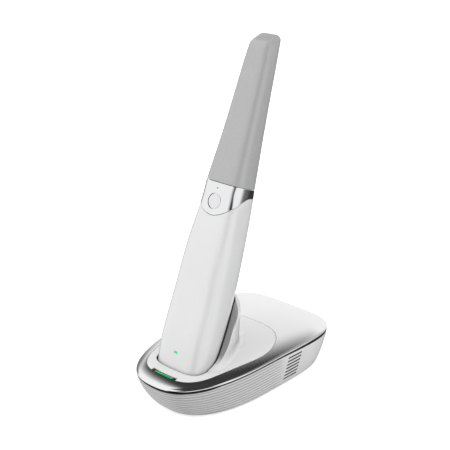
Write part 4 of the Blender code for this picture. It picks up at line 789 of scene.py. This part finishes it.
def section(at, depth=0.0, back_power=None, count=HAND_POINTS):
    """A rounded section, its points starting at the middle of the front."""
    half, front, back = [reach - depth for reach in reaches(at)]
    share = min(max((at - FOOT_AT) / (GRIP_AT - FOOT_AT), 0.0), 1.0)
    front_power = 2.9 + (GRIP_POWER - 2.9) * share
    angle = np.arange(2880) * 2 * np.pi / 2880
    cosine, sine = np.cos(angle), np.sin(angle)
    power = np.where(cosine > 0, front_power, back_power or front_power)
    x = half * np.sign(sine) * np.abs(sine) ** (2 / power)
    y = -np.where(cosine > 0, front, back) * np.sign(cosine) * np.abs(cosine) ** (2 / power)
    return spread(np.column_stack([x, y]), count)


def hand_ring(at, depth=0.0):
    return level(section(at, depth), at)


def seam_heights():
    """The U-shaped seam between handle and collar, as a distance for each point."""
    ring = section(TIP_BASE - 7 * MM)
    steps = np.linalg.norm(np.roll(ring, -1, axis=0) - ring, axis=1)
    run = np.concatenate([[0.0], np.cumsum(steps)[:-1]]) / steps.sum()
    around = np.minimum(run, 1 - run) * 2
    rise = (1 - np.cos(np.pi * np.minimum(around / 0.62, 1.0))) / 2
    return TIP_BASE - 25.4 * MM + 18.4 * MM * rise


def edge_ring(heights, depth):
    return np.array([(*section(height, depth)[i], height) for i, height in enumerate(heights)])


SEAM_U = seam_heights()
print("U seam from", round(SEAM_U.min() / MM, 1), "to", round(SEAM_U.max() / MM, 1), "mm")

# %% [markdown]
# ## Handle
#
# The handle is one soft white tube. Its top edge follows the U-shaped seam. The outer skin is
# wrapped first and the wall is given by Solidify, which also closes both rims; a last ring turned
# in by a quarter of a millimetre rounds the visible edge along the seam.

# %% Handle
handle_rings = [hand_ring(3.7 * MM, 0.25 * MM), hand_ring(4.0 * MM, 0.05 * MM)]
for at in np.linspace(5.0, 130.0, 64) * MM:
    handle_rings.append(hand_ring(at))
rim = SEAM_U - 0.3 * MM
for share in (0.35, 0.7):
    heights = 130 * MM + (rim - 130 * MM) * share
    handle_rings.append(edge_ring(heights, 0.0))
handle_rings.append(edge_ring(rim - 0.25 * MM, 0.0))
handle_rings.append(edge_ring(rim - 0.06 * MM, 0.08 * MM))
handle_rings.append(edge_ring(rim, 0.3 * MM))
handle = wrapped("handle_shell", handle_rings, handle_white, caps=False)
apply_modifier(handle, "SOLIDIFY", thickness=1.7 * MM, offset=-1.0)
front = reaches(26.1 * MM)[1]
slot = cutter_box((-1.9 * MM, -front - 5 * MM, 25.05 * MM), (1.9 * MM, -front + 5 * MM, 27.15 * MM), 0.5 * MM, 4)
carve(handle, slot)
settle(handle, seat)
smooth(handle, 40)
done(handle, ROOT, "gloss_white", "handle_housing")

# %% [markdown]
# ## Mirror-bright collar and its button
#
# The collar fills the space between the U-shaped seam and the tip. Its holes for the button and
# the small light are cut with round bars that run through the front wall only. The button is a
# turned shape: a profile is drawn as a chain of edges and spun round its axis.

# %% Collar
collar_rings = [edge_ring(SEAM_U + 0.06 * MM, 0.2 * MM), edge_ring(SEAM_U + 0.2 * MM, 0.0)]
for share in np.linspace(0.08, 0.92, 12):
    collar_rings.append(edge_ring(SEAM_U * (1 - share) + TIP_BASE * share, 0.0))
collar_rings.append(hand_ring(TIP_BASE - 0.2 * MM, 0.0))
collar_rings.append(hand_ring(TIP_BASE - 0.05 * MM, 0.2 * MM))
collar = wrapped("bright_collar", collar_rings, chrome, caps=False)
apply_modifier(collar, "SOLIDIFY", thickness=1.3 * MM, offset=-1.0)
BUTTON_AT = 147.3 * MM
BUTTON_RADIUS = 5.85 * MM
STATUS_AT = 157.6 * MM
front = reaches(BUTTON_AT)[1]
bore = cutter_rod((0.0, BUTTON_AT), BUTTON_RADIUS + 0.45 * MM, -front - 4 * MM, -front + 4 * MM, "Y", 96)
bore.data.materials.append(shade_black)
carve(collar, bore, lining="TRANSFER")
carve(collar, cutter_rod((0.0, STATUS_AT), 0.75 * MM, -front - 4 * MM, -front + 4 * MM, "Y", 32))
settle(collar, seat)
smooth(collar, 35)
done(collar, ROOT, "chrome", "metal_collar")

# %% Button
def turned(name, profile, centre, look, steps=96):
    """Spin (radius, y) points round an axis along Y through centre (x, z)."""
    bpy.ops.object.select_all(action="DESELECT")
    bpy.ops.mesh.primitive_plane_add(size=0.01)
    piece = bpy.context.active_object
    piece.name = name
    edit_all(piece)
    bpy.ops.mesh.delete(type="VERT")
    bpy.ops.object.mode_set(mode="OBJECT")
    piece.data.vertices.add(len(profile))
    piece.data.edges.add(len(profile) - 1)
    piece.data.vertices.foreach_set("co", np.array([(centre[0] + r, y, centre[1]) for r, y in profile]).ravel())
    piece.data.edges.foreach_set("vertices", np.array([(i, i + 1) for i in range(len(profile) - 1)]).ravel())
    piece.data.update()
    edit_all(piece)
    bpy.ops.mesh.spin(steps=steps, angle=2 * math.pi, center=(centre[0], 0.0, centre[1]), axis=(0.0, 1.0, 0.0))
    bpy.ops.mesh.select_all(action="SELECT")
    bpy.ops.mesh.remove_doubles(threshold=0.000005)
    bpy.ops.mesh.select_all(action="SELECT")
    bpy.ops.mesh.normals_make_consistent(inside=False)
    bpy.ops.object.mode_set(mode="OBJECT")
    piece.data.materials.clear()
    piece.data.materials.append(look)
    return piece


face = -(front - 0.15 * MM)
profile = [(0.0, face + 0.25 * MM)]
for share in np.linspace(0.1, 0.9, 9):
    profile.append((share * BUTTON_RADIUS, face + 0.25 * MM * (1 - share ** 2) + 0.02 * MM))
for turn in np.linspace(0.0, 1.0, 6):
    angle = turn * math.pi / 2
    profile.append((BUTTON_RADIUS - 0.3 * MM + 0.3 * MM * math.sin(angle), face + 0.3 * MM * (1 - math.cos(angle))))
behind = face - 0.15 * MM + 2.2 * MM
profile += [(BUTTON_RADIUS, behind), (6.75 * MM, behind), (6.75 * MM, behind + 0.8 * MM),
            (1.6 * MM, behind + 0.8 * MM), (1.6 * MM, behind + 3.6 * MM), (0.0, behind + 3.6 * MM)]
button = turned("scan_button_cap", profile, (0.0, BUTTON_AT), button_metal)
settle(button, seat)
smooth(button, 35)
done(button, "button", "button_satin", "scan_button")

# %% [markdown]
# ## Tip sleeve
#
# The tip narrows to a slanted, soft-edged end. The outside is wrapped as a closed shell whose last
# rings turn over the edge; a second, smaller shell hollows it, and the scan window is cut through
# the wall that faces away from the button.

# %% Tip
TIP_EDGE = 4.2 * MM
SLANT = 6.7 / 8.8


def slanted(outline, top):
    """Level at the back, falling to the front, with a soft start."""
    ahead = 2.4 * MM - outline[:, 1]
    return top - (ahead + np.sqrt(ahead ** 2 + (0.6 * MM) ** 2)) / 2 * SLANT


def tip_rings(depth, base, turns):
    end = HAND_LENGTH - depth
    rings = [hand_ring(at, depth) for at in np.linspace(base, 257 * MM, 40)]
    edge = TIP_EDGE - depth * 0.6
    for turn in turns:
        angle = turn * math.pi / 2
        outline = section(HAND_LENGTH, depth + edge * (1 - math.cos(angle)))
        rings.append(level(outline, slanted(outline, end) - edge * (1 - math.sin(angle))))
    for extra in (0.6 * MM, 1.1 * MM, 1.6 * MM):
        outline = section(HAND_LENGTH, depth + edge + extra)
        rings.append(level(outline, slanted(outline, end)))
    return rings


outer = tip_rings(0.0, TIP_BASE + 0.5 * MM, np.linspace(0.0, 1.0, 10))
outer[0] = hand_ring(TIP_BASE + 0.3 * MM, 0.25 * MM)
outer.insert(1, hand_ring(TIP_BASE + 0.36 * MM, 0.1 * MM))
tip = wrapped("tip_shell", outer, tip_grey)
carve(tip, wrapped("tip_room", tip_rings(1.6 * MM, TIP_BASE - 2 * MM, (0.0, 0.5, 1.0)), tip_grey))
window = cutter_box((-6 * MM, 2 * MM, HAND_LENGTH - 24.5 * MM), (6 * MM, 20 * MM, HAND_LENGTH - 8.5 * MM),
                    2.0 * MM, 6)
carve(tip, window)
settle(tip, seat)
smooth(tip, 40)
done(tip, "tip", "tip_grey", "tip_sleeve")

# %% [markdown]
# ## Cradle: plate, back-rest collar and pocket
#
# One light grey moulding carries the handpiece. The plate lies in the cover, the back-rest rises
# from it with a hollow fillet at its foot, and the pocket goes down into the tub along the
# handpiece's own axis. The parts are wrapped one by one, joined, and hollowed with slightly
# smaller copies of the same shapes.

# %% Cradle shapes
def soften(points, reach, count=1200):
    """Round the corners of a closed curve with a running average along it."""
    closed = np.vstack([points, points[:1]])
    run = np.concatenate([[0.0], np.cumsum(np.linalg.norm(np.diff(closed, axis=0), axis=1))])
    marks = np.arange(count) * run[-1] / count
    even = np.column_stack([np.interp(marks, run, closed[:, i]) for i in (0, 1)])
    return np.mean([np.roll(even, shift, axis=0) for shift in range(-reach, reach + 1)], axis=0)


def fillet(height, radius):
    if height >= radius:
        return 0.0
    return radius - math.sqrt(radius ** 2 - (radius - max(height, 0.03 * radius)) ** 2)


COLLAR_RISE = 49.5 * MM
PLATE = float(top_height(np.array([[0.0, -55.65 * MM]]))[0])


def collar_plan(height, wall=0.0):
    """The back-rest's plan at a height above the plate: straight front, rounded back."""
    over = max(0.0, height - 33.5 * MM) / (16 * MM)
    half = 27.5 * MM * (1 - 0.04 * height / (33.5 * MM))
    half -= (half - 17.5 * MM) * over ** 2
    line = -36.4 * MM + 0.485 * height - 0.0093 / MM * max(0.0, height - 28 * MM) ** 2
    back = 10 * MM - 0.11 * height - 5.5 * MM * over ** 2 + fillet(height, 6.5 * MM) - wall
    forward = line - fillet(height, 18 * MM) + wall
    half += fillet(height, 6.5 * MM) - wall
    angle = np.arange(1, 800) * math.pi / 800
    corner = forward + 1.2 * MM
    x = half * np.sign(np.cos(angle)) * np.abs(np.cos(angle)) ** (2 / 1.65)
    y = corner + (back - corner) * np.sin(angle) ** (2 / 1.65)
    face = np.linspace(-half, half, 320)
    bow = forward + 1.2 * MM * (face / half) ** 2
    points = np.vstack([np.column_stack([x, y]), np.column_stack([face, bow])])
    reach = 6 + int(56 * max(0.0, 1 - height / (6.5 * MM)))
    return spread(soften(points, reach), 128)


def back_rest_rings(wall):
    shares = np.concatenate([[0.0, 0.008, 0.02, 0.035, 0.05, 0.075, 0.1, 0.135], np.linspace(0.17, 1.0, 22)])
    heights = [share * (COLLAR_RISE - wall) for share in shares]
    if wall:
        heights = [height for height in heights if height >= 6.5 * MM]
    rings = [level(collar_plan(height, wall), PLATE + height) for height in heights]
    foot = collar_plan(6.5 * MM if wall else 0.0, wall)
    return [level(foot, PLATE - (4 * MM if wall else 1.2 * MM))] + rings


def pocket_rings(depth, floor):
    """Rings round the handle's lower end, larger than it by -depth, boxy at the back."""
    turns = np.linspace(0.0, 0.75, 6) * math.pi / 2
    rings = [level(section(FOOT_AT, depth + 5 * MM * (1 - math.sin(turn)), POCKET_BACK_POWER),
                   floor + 3 * MM * (1 - math.cos(turn))) for turn in turns]
    for at in np.linspace(7.0, 112.0, 43) * MM:
        share = min(max((at - 8 * MM) / (22 * MM), 0.0), 1.0)
        rings.append(level(section(at, depth, POCKET_BACK_POWER + (GRIP_POWER - POCKET_BACK_POWER) * share), at))
    return rings


# %% Cradle
plate_rings = []
for share in (0.15, 0.3, 0.5, 0.65, 0.8, 0.9, 0.96):
    flat = insert_line * share + insert_line.mean(axis=0) * (1 - share)
    plate_rings.append(level(flat, top_height(flat)))
plate_rings.append(level(inset(insert_line, 0.12 * MM), top_height(insert_line)))
plate_rings.append(level(insert_line, top_height(insert_line) - 0.12 * MM))
plate_rings.append(level(insert_line, top_height(insert_line) - 2.6 * MM))
wide = inset(insert_line, -1.6 * MM)
plate_rings.append(level(wide, top_height(insert_line) - 2.6 * MM))
plate_rings.append(level(wide, top_height(insert_line) - 3.9 * MM))
narrow = inset(insert_line, 1.6 * MM)
plate_rings.append(level(narrow, top_height(narrow) - 3.9 * MM))
under = narrow * 0.6 + narrow.mean(axis=0) * 0.4
plate_rings.append(level(under, top_height(under) - 2.2 * MM))
cradle = wrapped("cradle_shell", plate_rings, cradle_grey)
carve(cradle, wrapped("back_rest", back_rest_rings(0.0), cradle_grey), "UNION")

CLEARANCE = 0.8 * MM
WALL = 2.2 * MM
cup = pocket_rings(-CLEARANCE - WALL, -0.3 * MM - WALL)[:6]
start = section(FOOT_AT, -CLEARANCE - WALL, POCKET_BACK_POWER)
heights = (PLATE - 1.1 * MM - 19.6 * MM + start[:, 1] * math.sin(LEAN)) / math.cos(LEAN)
for share in np.linspace(0.1, 1.0, 10):
    levels = FOOT_AT + (heights - FOOT_AT) * share
    cup.append(np.array([(*section(at, -CLEARANCE - WALL, POCKET_BACK_POWER)[i], at)
                         for i, at in enumerate(levels)]))
carve(cradle, settle(wrapped("cup", cup, cradle_grey), seat), "UNION")
core = wrapped("core", back_rest_rings(WALL), cradle_grey)
carve(core, settle(wrapped("web", pocket_rings(-CLEARANCE - WALL, -0.3 * MM - WALL), cradle_grey), seat))
carve(cradle, core)
carve(cradle, settle(wrapped("room", pocket_rings(-1.2 * MM, -0.3 * MM), shade_black), seat), lining="TRANSFER")
print("cradle points", len(cradle.data.vertices))

# %% Bar notch and contact slot
def nose_edge(x, distance):
    """The cradle's nose edge at x, moved in by a distance."""
    curve = inset(insert_curve, distance)
    ahead = curve[curve[:, 1] < INSERT_NOSE + 37 * MM]
    order = np.argsort(ahead[:, 0])
    return float(np.interp(x, ahead[order, 0], ahead[order, 1]))


def bar_strip(name, half, outer, inner, low, high, look):
    """A strip that follows the nose edge, made from a grid that is laid out and extruded up."""
    steps = 24
    bpy.ops.object.select_all(action="DESELECT")
    bpy.ops.mesh.primitive_grid_add(x_subdivisions=steps, y_subdivisions=1, size=0.1)
    piece = bpy.context.active_object
    piece.name = name
    xs = np.linspace(-half, half, steps + 1)
    rows = [(x, nose_edge(x, distance), low) for distance in (outer, inner) for x in xs]
    piece.data.vertices.foreach_set("co", np.array(rows).ravel())
    edit_all(piece)
    bpy.ops.mesh.extrude_region_move(TRANSFORM_OT_translate={"value": (0.0, 0.0, high - low)})
    bpy.ops.mesh.select_all(action="SELECT")
    bpy.ops.mesh.normals_make_consistent(inside=False)
    bpy.ops.object.mode_set(mode="OBJECT")
    piece.data.materials.clear()
    piece.data.materials.append(look)
    return piece


BAR_HALF = 12.4 * MM
carve(cradle, bar_strip("bar_notch", BAR_HALF + 0.3 * MM, -4 * MM, 3.0 * MM, PLATE - 8 * MM, PLATE + 4 * MM,
                        cradle_grey))
carve(cradle, settle(cutter_box((-7.6 * MM, -2.8 * MM, -8 * MM), (7.6 * MM, 2.8 * MM, 4 * MM)), seat))
smooth(cradle, 40)
done(cradle, ROOT, "insert_grey", "cradle_insert")

# %% [markdown]
# ## Light bar
#
# Seven slanted windows glow green in a black strip along the nose. The strip's windows are cut
# with slanted bars, and the guide's teeth stand in them a little below the strip's face.

# %% Light bar
BAR_TOP = float(top_height(np.array([[0.0, INSERT_NOSE]]))[0]) - 0.15 * MM
BAR_LOW = BAR_TOP - 2.2 * MM


def slanted_bar(index, gap, low, high, look=None):
    """One window of the bar: a cube whose corners are set on the nose edge and leaned over."""
    x = (index - 3) * 2.62 * MM
    half = 1.04 * MM - gap
    near, far = nose_edge(x, 0.4 * MM + gap), nose_edge(x, 2.3 * MM - gap)
    tool = cutter_box((x - half, near, low), (x + half, far, high))
    for vert in tool.data.vertices:
        vert.co.x += 0.45 * MM if vert.co.y > (near + far) / 2 else -0.45 * MM
    if look:
        tool.data.materials.append(look)
    return tool


bezel = bar_strip("bar_bezel", BAR_HALF, 0.0, 2.7 * MM, BAR_LOW, BAR_TOP, black_gloss)
apply_modifier(bezel, "BEVEL", width=0.2 * MM, segments=3, limit_method="ANGLE", angle_limit=math.radians(50))
carve(bezel, joined([slanted_bar(i, 0.0, BAR_LOW - MM, BAR_TOP + MM) for i in range(7)]))
smooth(bezel, 35)
done(bezel, ROOT, "black_plastic", "light_bar_bezel")
guide = bar_strip("bar_guide", 9.2 * MM, 0.3 * MM, 2.4 * MM, BAR_LOW - 1.7 * MM, BAR_LOW - 0.3 * MM, bar_glow)
teeth = [slanted_bar(i, 0.12 * MM, BAR_LOW - 1.0 * MM, BAR_TOP - 0.1 * MM, bar_glow) for i in range(7)]
carve(guide, joined(teeth), "UNION")
smooth(guide, 35)
done(guide, ROOT, "green_light", "light_guide")

# %% [markdown]
# ## Floor and light
#
# A white sweep under and behind the object, one large soft light from the front left and a weaker
# one from the right. The floor and the room are seen as plain white by the camera, by glossy
# surfaces and through glass. Dark cards in the room, which only reflections see, give the plating
# its dark lines, as photographers do.

# %% Floor
bpy.ops.object.select_all(action="DESELECT")
bpy.ops.mesh.primitive_plane_add(size=8.0, location=(0.0, 0.0, 0.0))
floor = bpy.context.active_object
floor.name = "floor"
paper = Finish("paper_floor")
path = paper.add("ShaderNodeLightPath")
seen = paper.value(path.outputs["Is Camera Ray"])
_, (x, y, z) = paper.place()
paper.set(base_color=(0.88, 0.88, 0.88, 1.0), roughness=0.9, emission_color=(1.0, 1.0, 1.0, 1.0),
          emission_strength=seen * 0.62)
floor.data.materials.append(paper.material)
floor.visible_glossy = False

# %% [markdown]
# The plating of the cover shows only the room in the photograph, never the handpiece that stands
# on it. The handpiece's pieces are therefore hidden from glossy rays.

# %% What the plating shows
for piece in [handle, collar, button, tip, cradle, *nodes.values()]:
    piece.visible_glossy = False
print("plating shows the room only")

# %% Lights
def soft_light(name, place, target, size, power):
    data = bpy.data.lights.new(name, "AREA")
    data.shape = "SQUARE"
    data.size = size
    data.energy = power
    lamp = bpy.data.objects.new(name, data)
    bpy.context.collection.objects.link(lamp)
    lamp.location = place
    lamp.rotation_mode = "QUATERNION"
    lamp.rotation_quaternion = (Vector(place) - Vector(target)).to_track_quat("Z", "Y")
    return lamp


key = soft_light("key_front_left", (-0.9, -1.5, 1.2), (0.0, 0.0, 0.12), 1.6, 8.5)
top_light = soft_light("top", (-0.1, 0.2, 1.7), (0.0, 0.0, 0.05), 1.6, 6.0)
side = soft_light("side_right", (1.5, 0.5, 0.6), (0.0, 0.0, 0.1), 1.0, 3.5)
for lamp in (key, top_light, side):
    lamp.visible_glossy = False

world = bpy.data.worlds.new("studio")
bpy.context.scene.world = world
world.use_nodes = True
room = Finish("studio", world.node_tree)
background = world.node_tree.nodes["Background"]
direction = room.add("ShaderNodeTexCoord").outputs["Generated"]
split = room.add("ShaderNodeSeparateXYZ", sockets={"Vector": direction})
dx, dy, dz = [room.value(split.outputs[i]) for i in range(3)]
path = room.add("ShaderNodeLightPath")
glossy = room.value(path.outputs["Is Glossy Ray"])
camera_ray = room.value(path.outputs["Is Camera Ray"])
around = dx.heading(0.0 - dy) * (180 / math.pi)
window = (room.between(around, -132.0, -106.0) * room.between(around, 8.0, 52.0, 1.0, 0.0)
          * room.between(dz, 0.94, 0.99, 1.0, 0.0))
drop = room.between(around, -172.0, -132.0) * room.between(around, -112.0, -104.0, 1.0, 0.0) * 0.2
ceiling = room.between(dz + drop, 0.58, 0.74) * (1.0 - window)
left_card = (room.between(around, -132.0, -118.0) * room.between(around, -98.0, -82.0, 1.0, 0.0)
             * room.between(dz, 0.3, 0.54, 1.0, 0.0) * 0.8)
right_card = (room.between(around, 12.0, 50.0) * room.between(around, 88.0, 108.0, 1.0, 0.0)
              * room.between(dz, 0.12, 0.22))
front_card = (room.between(around, -4.0, 4.0) * room.between(around, 22.0, 55.0, 1.0, 0.0)
              * room.between(dz, 0.2, 0.3, 1.0, 0.0))
right_grey = (room.between(around, 106.0, 122.0) * room.between(around, 150.0, 166.0, 1.0, 0.0)
              * room.between(dz, -0.12, 0.08) * 0.8)
rear_floor = ((room.between(around, 121.5, 145.0) + room.between(around, -165.0, -135.0, 1.0, 0.0))
              * room.between(dz, -0.16, -0.02, 1.0, 0.0))
dark = 1.0 - ((1.0 - ceiling) * (1.0 - left_card) * (1.0 - right_card) * (1.0 - front_card)
              * (1.0 - rear_floor) * (1.0 - right_grey))
ambient = 0.74 + (glossy + camera_ray).clamped() * 0.26
room.join(background.inputs["Color"], (1.0, 1.0, 1.0, 1.0))
room.join(background.inputs["Strength"], ambient * (1.0 - glossy * dark * 0.96))
scene = bpy.context.scene
scene.view_settings.view_transform = "Standard"
print("lights ready")
